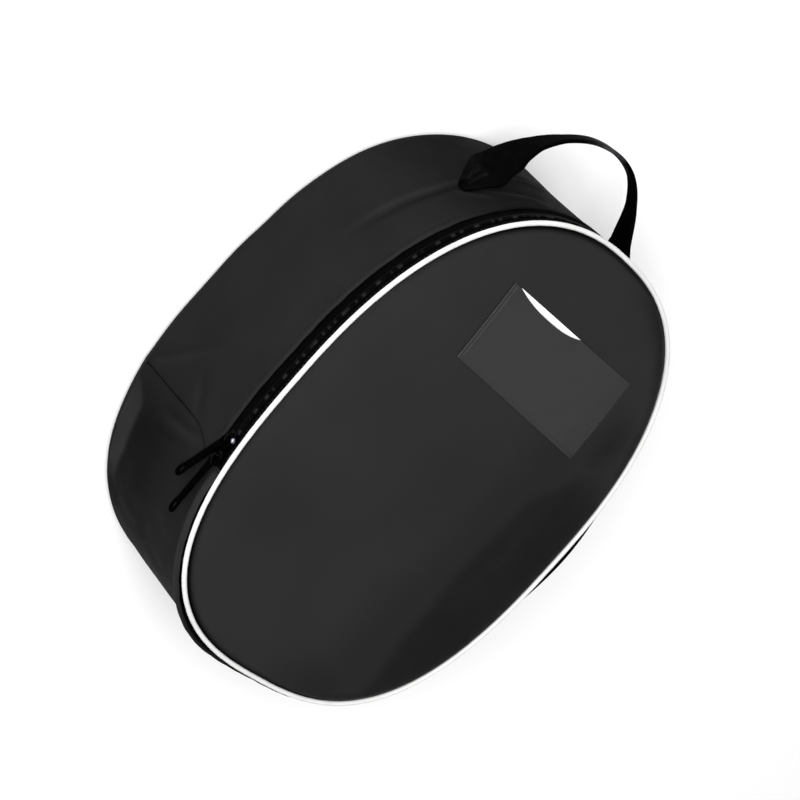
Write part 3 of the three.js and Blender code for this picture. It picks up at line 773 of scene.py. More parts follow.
@dataclass
class Wall:
    """The gusset's outer face: the front seam's oval, set outwards by an amount for each place.

    The amount is a curve through sections at rising heights, plus folds that are humps in both
    directions, creases that are humps across a line, a roll of cloth beside the piping on the lower
    strip, and a tuck at each side seam.
    """

    outline: Outline
    seam_y: float = -0.088
    foot: float = 0.010
    heights: tuple[float, ...] = (0.010, 0.045, 0.090, 0.125, 0.141)
    bulges: tuple[float, ...] = (0.0095, 0.0088, 0.0064, 0.0042, 0.0034)
    folds: tuple[Fold, ...] = (
        Fold(-0.188, 0.070, 0.036, 0.011, 0.0018),
        Fold(-0.318, 0.074, 0.015, 0.042, 0.0022),
        Fold(-0.352, 0.060, 0.014, 0.045, -0.0022),
        Fold(-0.355, 0.010, 0.035, 0.040, 0.0018),
        Fold(-0.490, 0.025, 0.062, 0.060, -0.0033),
        Fold(-0.148, 0.010, 0.040, 0.040, 0.0016),
        Fold(-0.240, 0.010, 0.020, 0.040, -0.0013),
        Fold(0.030, 0.060, 0.066, 0.060, -0.0060),
        Fold(0.290, 0.141, 0.060, 0.008, 0.0098),
        Fold(-0.515, 0.138, 0.046, 0.008, 0.0030),
    )
    # Each crease's last number is its painted highlight on the ridge; a negative one paints shade.
    creases: tuple[Crease, ...] = (
        Crease((-0.121, 0.0810), (-0.197, 0.0765), 0.0029, 0.0013, 0.74),
        Crease((-0.110, 0.101), (-0.070, 0.114), 0.0045, 0.0012, 0.15),
        Crease((-0.128, 0.092), (-0.108, 0.110), 0.0034, 0.0010, 0.40),
        Crease((-0.073, 0.078), (-0.046, 0.082), 0.0030, 0.0012, 0.60),
        Crease((-0.344, 0.066), (-0.366, 0.088), 0.0030, 0.0012, 0.34),
        Crease((-0.364, 0.015), (-0.326, 0.064), 0.0034, 0.0009, 0.22),
        Crease((-0.380, 0.060), (-0.376, 0.104), 0.0026, 0.0008, 0.28),
        Crease((-0.392, 0.058), (-0.384, 0.100), 0.0030, -0.0008, -0.12),
        Crease((0.080, 0.090), (0.140, 0.072), 0.0050, 0.0012, 0.40),
        Crease((0.350, 0.044), (0.366, 0.096), 0.0036, 0.0011, 0.40),
        Crease((0.470, 0.040), (0.540, 0.058), 0.0060, 0.0010, 0.30),
    )
    roll_height: float = 0.1385
    roll_width: float = 0.005
    roll_rise: float = 0.0032
    roll_from: float = 0.002
    roll_to: float = 0.024
    lean_shift: float = 0.010
    lean_from: float = 0.088
    lean_to: float = 0.124
    lean_reach: float = 0.060
    tuck_depth: float = 0.0014
    tuck_reach: float = 0.0022
    crease_start: Span = (-0.25, 0.35)
    crease_end: Span = (0.65, 1.25)
    valley_depth: float = 0.6
    valley_apart: float = 1.7
    valley_width: float = 1.2
    slack: float = 0.00035
    slack_start: float = 0.03
    slack_end: Span = (0.1, 0.125)
    slack_lean: float = 0.4
    slack_waves: tuple[float, ...] = (0.083, 0.057, 0.034)
    slack_turns: float = 55.0
    # Painted shade and highlights on the side cloth.
    side_painted_light: SidePaintedLight = SidePaintedLight()

    @property
    def seam_along(self) -> float:
        """Length from the top to a side seam."""
        return self.outline.along_at_y(self.seam_y)

    def from_place(self, along: Array, centre: float) -> Array:
        """Signed length from a place round the outline, the short way."""
        half = self.outline.perimeter / 2
        return np.mod(along - centre + half, 2 * half) - half

    def crease(self, along: Array, height: Array, row: Crease) -> Array:
        """A ridge on the line between two places, with a shallow valley beside it, faded at its ends.

        Args:
            along: Lengths round the outline.
            height: Heights above the floor.
            row: The crease.

        Returns:
            How far the cloth is lifted, as a share of the crease's rise.
        """
        line = np.subtract(row.end, row.start)
        length = np.hypot(*line)
        line = line / length
        ahead = self.from_place(along, row.start[0])
        above = height - row.start[1]
        share = (ahead * line[0] + above * line[1]) / length
        aside = above * line[0] - ahead * line[1]
        fade = ease(share, *self.crease_start) * (1 - ease(share, *self.crease_end))
        valley = hump(aside + self.valley_apart * row.width, self.valley_width * row.width)
        return fade * (hump(aside, row.width) - self.valley_depth * valley)

    def offset(self, along: Array, height: Array) -> Array:
        """How far the outer face stands outside the outline.

        Args:
            along: Lengths round the outline.
            height: Heights above the floor.

        Returns:
            The distances.
        """
        total = curve_through(np.array(self.heights), np.array(self.bulges), height)
        for fold in self.folds:
            place = hump(self.from_place(along, fold.along), fold.length)
            total = total + fold.rise * place * hump(height - fold.height, fold.width)
        for row in self.creases:
            total = total + row.rise * self.crease(along, height, row)
        below = np.abs(self.from_place(along, 0.0)) - self.seam_along
        lower = ease(below, self.roll_from, self.roll_to)
        total = total + lower * self.roll_rise * hump(height - self.roll_height, self.roll_width)
        inside = ease(height, self.foot, self.foot + self.slack_start) * (1 - ease(height, *self.slack_end))
        waves = ripple(along + self.slack_lean * height, self.slack_waves)
        return total + self.slack * inside * (waves * np.sin(self.slack_turns * height))

    def drawn(self, along: Array, height: Array) -> Array:
        """Where a place goes along the outline: drawn up the side near a side seam, less towards the zip.

        Args:
            along: Lengths round the outline.
            height: Heights above the floor.

        Returns:
            The lengths that the cloth is drawn to.
        """
        from_top = self.from_place(along, 0.0)
        near = hump(np.abs(from_top) - self.seam_along, self.lean_reach)
        behind = 1 - ease(height, self.lean_from, self.lean_to)
        return along - np.sign(from_top) * self.lean_shift * near * behind

    def tuck(self, along: Array) -> Array:
        """How far the cloth is drawn in at the side seams."""
        apart = np.abs(np.abs(self.from_place(along, 0.0)) - self.seam_along)
        return self.tuck_depth * hump(apart, self.tuck_reach)

    def along_of(self, x: Array, y: Array) -> Array:
        """Lengths round the outline of places on the gusset, by their bearing from the middle."""
        lengths, points = self.outline.table
        turn = np.unwrap(np.arctan2(points[:, 0], points[:, 1]))
        return np.interp(np.mod(np.arctan2(x, y), 2 * np.pi), turn, lengths)

    def painted_light(self, place: Array) -> Array:
        """Painted shade and highlights on the side cloth.

        Args:
            place: Points in the bag's frame.

        Returns:
            The side's bands of painted light, less the painted highlights on the ridges of creases.
        """
        x, y, z = place.T
        along = self.along_of(x, y)
        from_top = np.abs(self.from_place(along, 0.0))
        # Painted highlights on the ridges of creases.
        highlighted = sum(row.painted_highlight * self.crease(along, z, row) for row in self.creases)
        return self.side_painted_light.lying(from_top, z, self.seam_along) - highlighted

    def point(self, along: Array, height: Array, lift: Array | float = 0.0) -> Array:
        """Points of the outer face, lifted off it.

        Args:
            along: Lengths round the outline.
            height: Heights above the floor.
            lift: How far outside the face.

        Returns:
            Points in the bag's frame.
        """
        along, height = np.broadcast_arrays(along, height)
        place, outward = self.outline.at(along)
        place = place + outward * (self.offset(along, height) + lift)[..., None]
        return np.concatenate([place, height[..., None]], axis=-1)


@dataclass(frozen=True)
class ShadePatch:
    """A soft patch of painted shade on the front cloth, and how far it darkens."""

    x: float
    y: float
    reach_x: float
    reach_y: float
    share: float


@dataclass(frozen=True)
class Dent:
    """A soft hollow of the front panel."""

    x: float
    y: float
    reach_x: float
    reach_y: float
    depth: float


@dataclass
class FrontPanel:
    """The domed front: height falls from the middle as reach to a power, less dents, puckers and a tuck.

    The painted shade's lines and patches are places on the panel; a span is a pair of places between
    which a share eases from none to full.
    """

    outline: Outline
    seam_height: float = 0.144
    dome_rise: float = 0.016
    dome_fullness: float = 2.6
    dents: tuple[Dent, ...] = (
        Dent(0.122, 0.095, 0.026, 0.022, 0.0035),
        Dent(0.128, 0.000, 0.038, 0.048, 0.0055),
        Dent(0.114, -0.098, 0.040, 0.042, 0.0055),
    )
    # Painted shade lies to the right of the line through these places, on the panel's right side.
    shade_line_y: tuple[float, ...] = (-0.160, -0.126, -0.087, -0.060, -0.025, 0.014, 0.032, 0.044, 0.080)
    shade_line_x: tuple[float, ...] = (0.090, 0.080, 0.076, 0.072, 0.072, 0.076, 0.080, 0.092, 0.102)
    shade_line_edge: Span = (-0.008, 0.012)
    shade_line_top: Span = (0.045, 0.078)
    # A lighter painted shade on a wide strip before that line.
    before: float = 0.42
    before_start: Span = (-0.010, 0.066)
    before_top: Span = (0.050, 0.120)
    # Painted shade in the groove beside the piping.
    groove: float = 1.6
    groove_reach: float = 0.0021
    # Painted shade along the right edge.
    shade: float = 1.1
    shade_reach: float = 0.008
    shade_start: Span = (0.0, 0.08)
    # Soft patches of painted shade.
    shade_patches: tuple[ShadePatch, ...] = (
        ShadePatch(0.106, 0.090, 0.024, 0.032, 0.80),
        ShadePatch(0.118, 0.034, 0.034, 0.036, 1.12),
        ShadePatch(0.052, -0.182, 0.045, 0.028, 0.62),
        ShadePatch(-0.100, -0.090, 0.050, 0.034, 0.24),
        ShadePatch(0.000, 0.000, 0.062, 0.062, 0.21),
    )
    undulation: float = 0.0004
    dent_fade: int = 6
    wave_fade: int = 4
    wave_lean: Span = (0.3, 0.2)
    waves_across: Span = (0.19, 0.11)
    waves_along: Span = (0.17, 0.13)
    pucker: float = 0.00012
    pucker_reach: float = 0.014
    pucker_counts: tuple[float, ...] = (89.0, 62.0, 38.0)
    tuck_depth: float = 0.0012
    tuck_reach: float = 0.0016
    edge_clear: float = 0.003
    rings: int = 66
    stations: int = 420

    def height(self, x: Array, y: Array) -> Array:
        """Height of the outer face, without the puckers beside the seam.

        Args:
            x: Places across.
            y: Places along.

        Returns:
            Heights above the floor.
        """
        reach = self.outline.reach(x, y)
        top = self.seam_height + CLOTH / 2 + self.dome_rise * (1 - reach**self.dome_fullness)
        for dent in self.dents:
            place = hump(x - dent.x, dent.reach_x) * hump(y - dent.y, dent.reach_y)
            top = top - dent.depth * (1 - reach**self.dent_fade) * place
        right, up = self.wave_lean
        waves = ripple(x + right * y, self.waves_across) * ripple(y - up * x, self.waves_along)
        return top + self.undulation * (1 - reach**self.wave_fade) * waves

    def build(self) -> bpy.types.Object:
        """The panel as a wall on rings of the outline, from its middle to its edge."""
        half_size = self.outline.half_size
        inner = np.sin(np.linspace(0.0, np.pi / 2, self.rings))
        edge = 1 - CLOTH / 2 / half_size * EDGE_SHARES[::-1]
        share = np.concatenate([inner[inner < edge[0] - self.edge_clear], edge])
        along = np.linspace(0.0, self.outline.perimeter, self.stations + 1)
        share, along = np.meshgrid(share, along, indexing="ij")
        place, _ = self.outline.at(along)
        x, y = np.moveaxis(place * share[..., None], -1, 0)
        inward = (1 - share) * half_size
        waves = ripple(along, self.outline.perimeter / np.array(self.pucker_counts))
        top = self.height(x, y) + self.pucker * waves * hump(inward, self.pucker_reach)
        top = top - self.tuck_depth * hump(inward, self.tuck_reach)
        middle = Grid(np.stack([x, y, top - CLOTH / 2], axis=-1), np.stack([x, y], axis=-1))
        half = CLOTH / 2 * rounded(inward, CLOTH / 2)
        return make_mesh("front_cloth", middle.thickened(half, wraps=True))

    def painted_light(self, place: Array) -> Array:
        """Painted shade on the front cloth.

        Painted shade lies to the right of a line down the panel's right side, less on a wide strip before
        that line, in soft patches, along the right edge and, most of all, in the groove beside the
        piping.

        Args:
            place: Points in the bag's frame.

        Returns:
            0 where there is none, 1 for full painted shade, and more in the groove.
        """
        x, y, _ = place.T
        edge = curve_through(np.array(self.shade_line_y), np.array(self.shade_line_x), y)
        below = 1 - ease(y, *self.shade_line_top)
        before = self.before * ease(x, *self.before_start) * (1 - ease(y, *self.before_top))
        lying = before + (1 - before) * below * ease(x - edge, *self.shade_line_edge)
        for patch in self.shade_patches:
            soft = patch.share * hump(x - patch.x, patch.reach_x) * hump(y - patch.y, patch.reach_y)
            lying = np.maximum(lying, soft)
        inward = (1 - self.outline.reach(x, y)) * self.outline.half_size
        groove = self.groove * hump(inward, self.groove_reach)
        shade = self.shade * hump(inward, self.shade_reach) * ease(x, *self.shade_start)
        return np.maximum.reduce([lying, groove, shade])

    def dress(self) -> None:
        """Builds the panel, gives it its finish and writes its painted shade."""
        piece = settle(self.build(), CLOTH_FINISH, ["front_panel"])
        write_painted_light(piece.data, self.painted_light)


@dataclass
class BackPanel:
    """The flat back, whose rim turns up in a quarter circle to meet the gusset."""

    wall: Wall
    rounding: float = 0.010
    rings: int = 30
    turns: int = 10
    stations: int = 400

    def build(self) -> bpy.types.Object:
        """The back as a wall: rings of the outline on the floor, then a quarter circle up to the gusset."""
        outline = self.wall.outline
        along = np.linspace(0.0, outline.perimeter, self.stations + 1)
        place, outward = outline.at(along)
        radius = self.rounding - CLOTH / 2
        base = self.wall.offset(along, np.full_like(along, self.wall.foot)) - self.rounding
        flat_edge = place + outward * base[:, None]
        share = np.linspace(0.0, 1.0, self.rings)[:, None, None]
        level = np.full((self.rings, len(along), 1), CLOTH / 2)
        bed = np.concatenate([share * flat_edge, level], axis=-1)
        last = math.pi / 2 - GAP / radius
        edge = last - CLOTH / 2 / radius * EDGE_SHARES
        angle = np.append(np.linspace(0.0, last, self.turns + 1)[1:-1], edge)
        angle = np.sort(angle)[:, None]
        rim_place = flat_edge + outward * (radius * np.sin(angle))[..., None]
        rim_height = self.rounding - radius * np.cos(angle) + 0 * along
        rim = np.concatenate([rim_place, rim_height[..., None]], axis=-1)
        points = np.concatenate([bed, rim])
        to_edge = np.concatenate([np.full(self.rings, CLOTH), (last - angle[:, 0]) * radius])
        half = CLOTH / 2 * rounded(to_edge, CLOTH / 2)[:, None] + 0 * along
        middle = Grid(points, points[..., :2])
        return make_mesh("back_cloth", middle.thickened(half, wraps=True))

    def dress(self) -> None:
        """Builds the back and gives it its finish."""
        piece = settle(self.build(), SHADED_SIDE_FINISH, ["back_panel"])


class Strip(Enum):
    """The two strips that make up the gusset."""

    UPPER = "upper"
    LOWER = "lower"


@dataclass
class Gusset:
    """One strip of the gusset: a wall between two heights over a stretch of the outline."""

    wall: Wall
    strip: Strip
    top: float
    steps: int
    rows: int
    hem: float = 0.0
    hem_end: Span = (0.0075, 0.0095)
    stitch_drop: float = 0.0045
    stitch_reach: float = 0.0011
    pucker: float = 0.00025
    pucker_reach: float = 0.010
    edge_waves: tuple[float, ...] = (0.0147, 0.023, 0.041)
    foot_waves: tuple[float, ...] = (0.0163, 0.027)

    @property
    def ends(self) -> tuple[float, float]:
        """First and last length of the strip, with a small gap at each side seam."""
        seam = self.wall.seam_along
        if self.strip is Strip.UPPER:
            return -seam + GAP / 2, seam - GAP / 2
        return seam + GAP / 2, self.wall.outline.perimeter - seam - GAP / 2

    def build(self) -> bpy.types.Object:
        """The strip, whose upper edge is turned under as a hem where it has one."""
        first, last = self.ends
        radius = CLOTH / 2
        along = with_edges(first, last, self.steps, radius)
        height = with_edges(self.wall.foot, self.top, self.rows, radius)
        height, along = np.meshgrid(height, along, indexing="ij")
        below = self.top - height
        stitched = 0.5 * self.hem * hump(below - self.stitch_drop, self.stitch_reach)
        turned = self.hem * (1 - ease(below, *self.hem_end)) - stitched
        edge = ripple(along, self.edge_waves) * hump(below, self.pucker_reach)
        foot = ripple(along, self.foot_waves) * hump(height - self.wall.foot, self.pucker_reach)
        lift = turned + self.pucker * (edge + foot) - self.wall.tuck(along) - CLOTH / 2
        points = self.wall.point(self.wall.drawn(along, height), height, lift)
        distance = np.minimum.reduce([along - first, last - along, height - self.wall.foot, below])
        half = CLOTH / 2 * rounded(distance, radius)
        middle = Grid(points, np.stack([along, height], axis=-1))
        return make_mesh(f"gusset_{self.strip.value}_cloth", middle.thickened(half))

    def dress(self) -> None:
        """Builds the strip, gives it its finish and writes its painted light."""
        first, last = self.ends
        piece = settle(self.build(), SHADED_SIDE_FINISH, [f"gusset_{self.strip.value}"])
        write_painted_light(piece.data, self.wall.painted_light)


@dataclass
class Piping:
    """White piping in the front seam: a round section carried round the outline."""

    outline: Outline
    radius: float = 0.00185
    reach: float = 0.0024
    seam_height: float = 0.144
    unevenness: float = 0.00006
    swellings: tuple[float, ...] = (47.0, 71.0, 113.0)
    stations: int = 900
    sides: int = 16

    def dress(self) -> None:
        """Builds the piping, which swells and thins a little along its length."""
        along = np.linspace(0.0, self.outline.perimeter, self.stations + 1)[:, None]
        angle = np.linspace(0.0, 2 * np.pi, self.sides + 1)[None]
        place, outward = self.outline.at(along)
        lengths = self.outline.perimeter / np.array(self.swellings)
        radius = self.radius + self.unevenness * ripple(along, lengths)
        reach = self.reach + radius * np.cos(angle)
        plan = place + outward * reach[..., None]
        rise = self.seam_height + radius * np.sin(angle)
        flat = np.stack(np.broadcast_arrays(along, angle * self.radius), axis=-1)
        grid = Grid(np.concatenate([plan, rise[..., None]], axis=-1), flat)
        settle(make_mesh("piping_cord", [grid]), PIPING_FINISH, ["piping"])


@dataclass
class Zip:
    """The zip round the upper gusset: two woven tapes with a coil between them."""

    wall: Wall
    front_top: float = 0.1415
    front_width: float = 0.0050
    coil_width: float = 0.0054
    rear_width: float = 0.0060
    setback: float = 0.0009
    tape_thickness: float = 0.0012
    coil_setback: float = 0.0012
    coil_thickness: float = 0.0030
    coil_start_y: float = -0.0668
    coil_start_gap: float = 0.0015
    tooth_pitch: float = 0.0014
    tooth_rise: float = 0.00045
    tooth_sink: float = 0.6
    lock_groove: float = 0.00025
    lock_reach: float = 0.18
    # Painted glints on the coil's teeth: their strength, the waves that break them up, where they start,
    # and how high and wide they lie.
    painted_highlight: float = 24.0
    highlight_waves: tuple[float, ...] = (0.0061, 0.0097, 0.0151)
    highlight_start: Span = (0.0, 0.55)
    highlight_rise: float = 0.0014
    highlight_reach: float = 0.0008
    tape_rows: int = 10
    samples_per_tooth: int = 6
    coil_sides: int = 14
    steps: int = 420

    @property
    def coil_middle(self) -> float:
        """Height of the coil's middle."""
        return self.front_top - self.front_width - GAP - self.coil_width / 2

    @property
    def rear_top(self) -> float:
        """Height of the rear tape's front edge."""
        return self.coil_middle - self.coil_width / 2 - GAP

    @property
    def strip_top(self) -> float:
        """Height of the cloth's edge behind the zip."""
        return self.rear_top - self.rear_width - GAP

    def tape(self, name: str, top: float, width: float) -> bpy.types.Object:
        """One tape: a thin wall set back from the cloth and drawn in at the side seams."""
        seam = self.wall.seam_along - GAP / 2
        radius = self.tape_thickness / 2
        along = with_edges(-seam, seam, self.steps, radius)
        height = with_edges(top - width, top, self.tape_rows, radius)
        height, along = np.meshgrid(height, along, indexing="ij")
        lift = -self.setback - self.tape_thickness / 2 - self.wall.tuck(along)
        points = self.wall.point(along, height, lift)
        distance = np.minimum.reduce([along + seam, seam - along, height - top + width, top - height])
        half = self.tape_thickness / 2 * rounded(distance, radius)
        return make_mesh(name, Grid(points, np.stack([along, height], axis=-1)).thickened(half))

    def coil(self) -> bpy.types.Object:
        """The closed coil: an oval section whose outer half rises and falls as |cos| of the length.

        The teeth of the two halves are half a pitch apart, and a shallow groove runs where they lock.
        """
        start = -self.wall.outline.along_at_y(self.coil_start_y) + self.coil_start_gap
        end = self.wall.seam_along - GAP / 2
        teeth = int((end - start) / self.tooth_pitch)
        along = np.linspace(start, end, teeth * self.samples_per_tooth + 1)[:, None]
        angle = np.linspace(0.0, 2 * np.pi, self.coil_sides + 1)[None]
        aside = np.cos(angle)
        outer = np.maximum(np.sin(angle), 0.0)
        phase = np.pi * along / self.tooth_pitch + np.pi / 2 * (aside < 0)
        teeth_lift = self.tooth_rise * (np.abs(np.cos(phase)) - self.tooth_sink) * outer**0.5
        groove = self.lock_groove * hump(aside, self.lock_reach) * outer
        height = self.coil_middle + self.coil_width / 2 * aside + 0 * along
        lift = -self.coil_setback + self.coil_thickness / 2 * np.sin(angle) + teeth_lift - groove
        rings = self.wall.point(along, height, lift)
        ends = [rings[index].mean(axis=0) for index in (0, -1)]
        return make_mesh("zip_coil_teeth", [capped(rings, ends)])

    def painted_light(self, place: Array) -> Array:
        """Painted glints on the coil: far below 0 on short, uneven lengths of its front half.

        Args:
            place: Points in the bag's frame.

        Returns:
            0 as on most of the coil, and less where glints are painted on the teeth.
        """
        x, y, z = place.T
        along = self.wall.along_of(x, y)
        highlighted = ease(ripple(along, self.highlight_waves), *self.highlight_start)
        return -self.painted_highlight * highlighted * hump(z - self.coil_middle - self.highlight_rise, self.highlight_reach)

    def dress(self) -> None:
        """Builds both tapes and the coil."""
        front = self.tape("zip_tape_front_weave", self.front_top, self.front_width)
        settle(front, TAPE_FINISH, ["zip_tape_front"])
        rear = self.tape("zip_tape_rear_weave", self.rear_top, self.rear_width)
        settle(rear, TAPE_FINISH, ["zip_tape_rear"])
        coil = settle(self.coil(), COIL_FINISH, ["zip_coil"])
        write_painted_light(coil.data, self.painted_light)


@dataclass
class ZipPull:
    """A slider on the left of the zip and its pull tab, swung to the back and leaning on the wall.

    Both are made about the slider's middle, with X along the zip, Y across it and Z off the bag.
    """

    wall: Wall
    zip: Zip
    name: str
    body: Body
    y: float
    swing: float
    lean: float
    # Painted glint on the slider's front rim: its strength, its reach and its place across the plate.
    highlighted: float = 0.0
    glint_reach: float = 0.0007
    glint_share: float = 0.9
    half_length: float = 0.0060
    half_width: float = 0.0038
    plate: float = 0.0012
    outer_lift: float = 0.0008
    inner_depth: float = 0.0042
    crown: float = 0.0004
    plan_squareness: float = 3.4
    skirt_share: float = 0.75
    skirt_width: float = 0.0008
    skirt_reach: float = 0.0014
    post_half: float = 0.0012
    bail_half_span: float = 0.00305
    bail_rise: float = 0.00345
    bail_squareness: float = 3.6
    bail_wire: Span = (0.00055, 0.0009)
    hinge_lift: float = 0.0036
    tab_length: float = 0.054
    tab_half: float = 0.0007
    eye_half_width: float = 0.0036
    shank_half_width: float = 0.0034
    end_half_width: float = 0.0037
    eye_hole: Span = (0.00275, 0.0025)
    eye_hole_at: float = 0.00345
    eye_half_length: float = 0.0049
    eye_at: float = 0.0042
    tip_hole: Span = (0.0027, 0.0013)
    tip_hole_back: float = 0.0065
    tip_half_length: float = 0.0066
    shank_start: float = 0.0078
    shank_back: float = 0.0040
    shank_widens: float = 0.010
    shank_end_share: float = 0.92
    shank_swell: float = 1.06
    eye_squareness: Span = (3.5, 3.0)
    tip_squareness: Span = (2.0, 2.6)
    shank_squareness: float = 3.2
    wire_squareness: float = 3.0
    crisp: float = 50.0
    tab_sides: int = 48
    shank_steps: int = 24
    shank_sides: int = 20
    bail_steps: int = 25
    bail_sides: int = 14

    @property
    def seat(self) -> tuple[Array, Array]:
        """Axes, as columns, and origin of the slider's frame."""
        along = np.array(-self.wall.outline.along_at_y(self.y))
        _, outward = self.wall.outline.at(along)
        off = np.append(outward, 0.0)
        basis = np.column_stack([np.cross(UP, off), UP, off])
        return basis, self.wall.point(along, np.array(self.zip.coil_middle))

    @property
    def hinge(self) -> tuple[Array, Array]:
        """Axes, as columns, and origin of the pull tab's frame: swung about Z, then leaning about Y."""
        basis, origin = self.seat
        about_z = np.array(Matrix.Rotation(math.radians(-self.swing), 3, "Z"))
        about_y = np.array(Matrix.Rotation(math.radians(self.lean), 3, "Y"))
        return basis @ about_z @ about_y, origin + basis[:, 2] * self.hinge_lift

    def bail(self) -> Grid:
        """The bail: a rounded bar carried over a squared arch along the zip."""
        turn = np.linspace(-np.pi / 2, np.pi / 2, self.bail_steps)
        power = 2.0 / self.bail_squareness
        top = self.outer_lift + self.plate
        x = self.bail_half_span * np.sign(turn) * np.abs(np.sin(turn)) ** power
        z = top - self.plate / 2 + (self.bail_rise + self.plate / 2) * np.cos(turn) ** power
        path = np.stack([x, 0 * x, z], axis=-1)
        ahead = unit(np.gradient(path, axis=0))
        side = np.broadcast_to([0.0, 1.0, 0.0], path.shape)
        section = superoval(*self.bail_wire, self.wire_squareness, self.bail_sides)
        return sweep(path, np.cross(ahead, side), side, section)

    def slider(self) -> bpy.types.Object:
        """The slider: two rounded plates, a post, two skirts and the bail."""
        low, inner = self.outer_lift, -self.inner_depth
        plan, square = (self.half_length, self.half_width), self.plan_squareness
        sunk = low + self.plate / 2
        parts = [
            pillow(*plan, low, low + self.plate, self.crown, square),
            pillow(*plan, inner, inner + self.plate, squareness=square),
            pillow(self.post_half, self.post_half, inner + self.plate / 2, sunk),
        ]
        skirt_half = self.skirt_width / 2
        for side in (-1, 1):
            skirt = pillow(self.skirt_share * self.half_length, skirt_half, low - self.skirt_reach, sunk)
            shift = np.array([0.0, side * (self.half_width - skirt_half), 0.0])
            parts.append(skirt.placed(np.eye(3), shift))
        parts.append(self.bail())
        basis, origin = self.seat
        placed = [part.placed(basis, origin) for part in parts]
        return make_mesh(f"slider_{self.name}_body", placed, self.crisp)

    def tab(self) -> bpy.types.Object:
        """The pull tab: an eye, a shank with a rounded section and a tip with an oval hole."""
        sides = self.tab_sides
        tip_at = self.tab_length - self.tip_half_length
        eye, tip = self.eye_squareness, self.tip_squareness
        tip_hole_at = self.tab_length - self.tip_hole_back
        eye_hole = superoval(*self.eye_hole, eye[0], sides) + [self.eye_hole_at, 0.0]
        eye_rim = superoval(self.eye_half_length, self.eye_half_width, eye[1], sides) + [self.eye_at, 0.0]
        tip_hole = superoval(*self.tip_hole, tip[0], sides) + [tip_hole_at, 0.0]
        tip_rim = superoval(self.tip_half_length, self.end_half_width, tip[1], sides) + [tip_at, 0.0]
        x = np.linspace(self.shank_start, tip_at - self.shank_back, self.shank_steps)
        path = np.stack([x, 0 * x, 0 * x], axis=-1)
        wider = self.shank_end_share * self.end_half_width - self.shank_half_width
        width = self.shank_half_width + wider * ease(x, self.shank_widens, tip_at)
        across, up = superoval(1.0, 1.0, self.shank_squareness, self.shank_sides).T
        ring = np.broadcast_arrays(0.0, across * width[:, None], up * self.tab_half * self.shank_swell)
        parts = [
            ring_plate(eye_hole, eye_rim, self.tab_half),
            capped(path[:, None] + np.stack(ring, axis=-1), (path[0], path[-1])),
            ring_plate(tip_hole, tip_rim, self.tab_half),
        ]
        basis, origin = self.hinge
        placed = [part.placed(basis, origin) for part in parts]
        return make_mesh(f"pull_{self.name}_tab", placed, self.crisp)

    def painted_light(self, place: Array) -> Array:
        """Painted glint on the slider: far below 0 at a bright spot on its front rim.

        Args:
            place: Points in the bag's frame.

        Returns:
            0 as on most of the slider, and less at the spot.
        """
        basis, origin = self.seat
        spot = np.array([0.0, self.glint_share * self.half_width, self.outer_lift + self.plate])
        apart = np.linalg.norm(place - (origin + basis @ spot), axis=-1)
        return -self.highlighted * hump(apart, self.glint_reach)

    def dress(self) -> None:
        """Builds the slider on the bag and the tab on its own body."""
        slider = settle(self.slider(), CASTING_FINISH, [f"slider_{self.name}"])
        write_painted_light(slider.data, self.painted_light)
        settle(self.tab(), TAB_FINISH, [f"pull_{self.name}"], self.body)


@dataclass(frozen=True)
class HandleEnd:
    """Where one end of the handle is sewn to the gusset, and how high its middle is there."""

    side: int
    tip_x: float
    tip_height: float
    lift_x: float
    lift_height: float


@dataclass(frozen=True)
class ArchRow:
    """A place of the handle between its ends: where its middle runs and how wide it is folded."""

    x: float
    y: float
    height: float
    width: float


@dataclass(frozen=True)
class StrapRows:
    """The strap row by row: middle line, outward directions, widths of the cloth and of what shows,
    how far it is folded and how close it lies to the gusset, both from 0 to 1."""

    line: Array
    outward: Array
    width: Array
    shown: Array
    grip: Array
    lying: Array

    def at(self, share: Array) -> "StrapRows":
        """The same between rows, for row numbers with parts of a row."""
        rows = np.arange(len(self.width))
        tables = (self.line, self.outward, self.width, self.shown, self.grip, self.lying)
        return StrapRows(*(np.stack([np.interp(share, rows, column) for column in table.T], axis=-1)
                           if table.ndim > 1 else np.interp(share, rows, table) for table in tables))


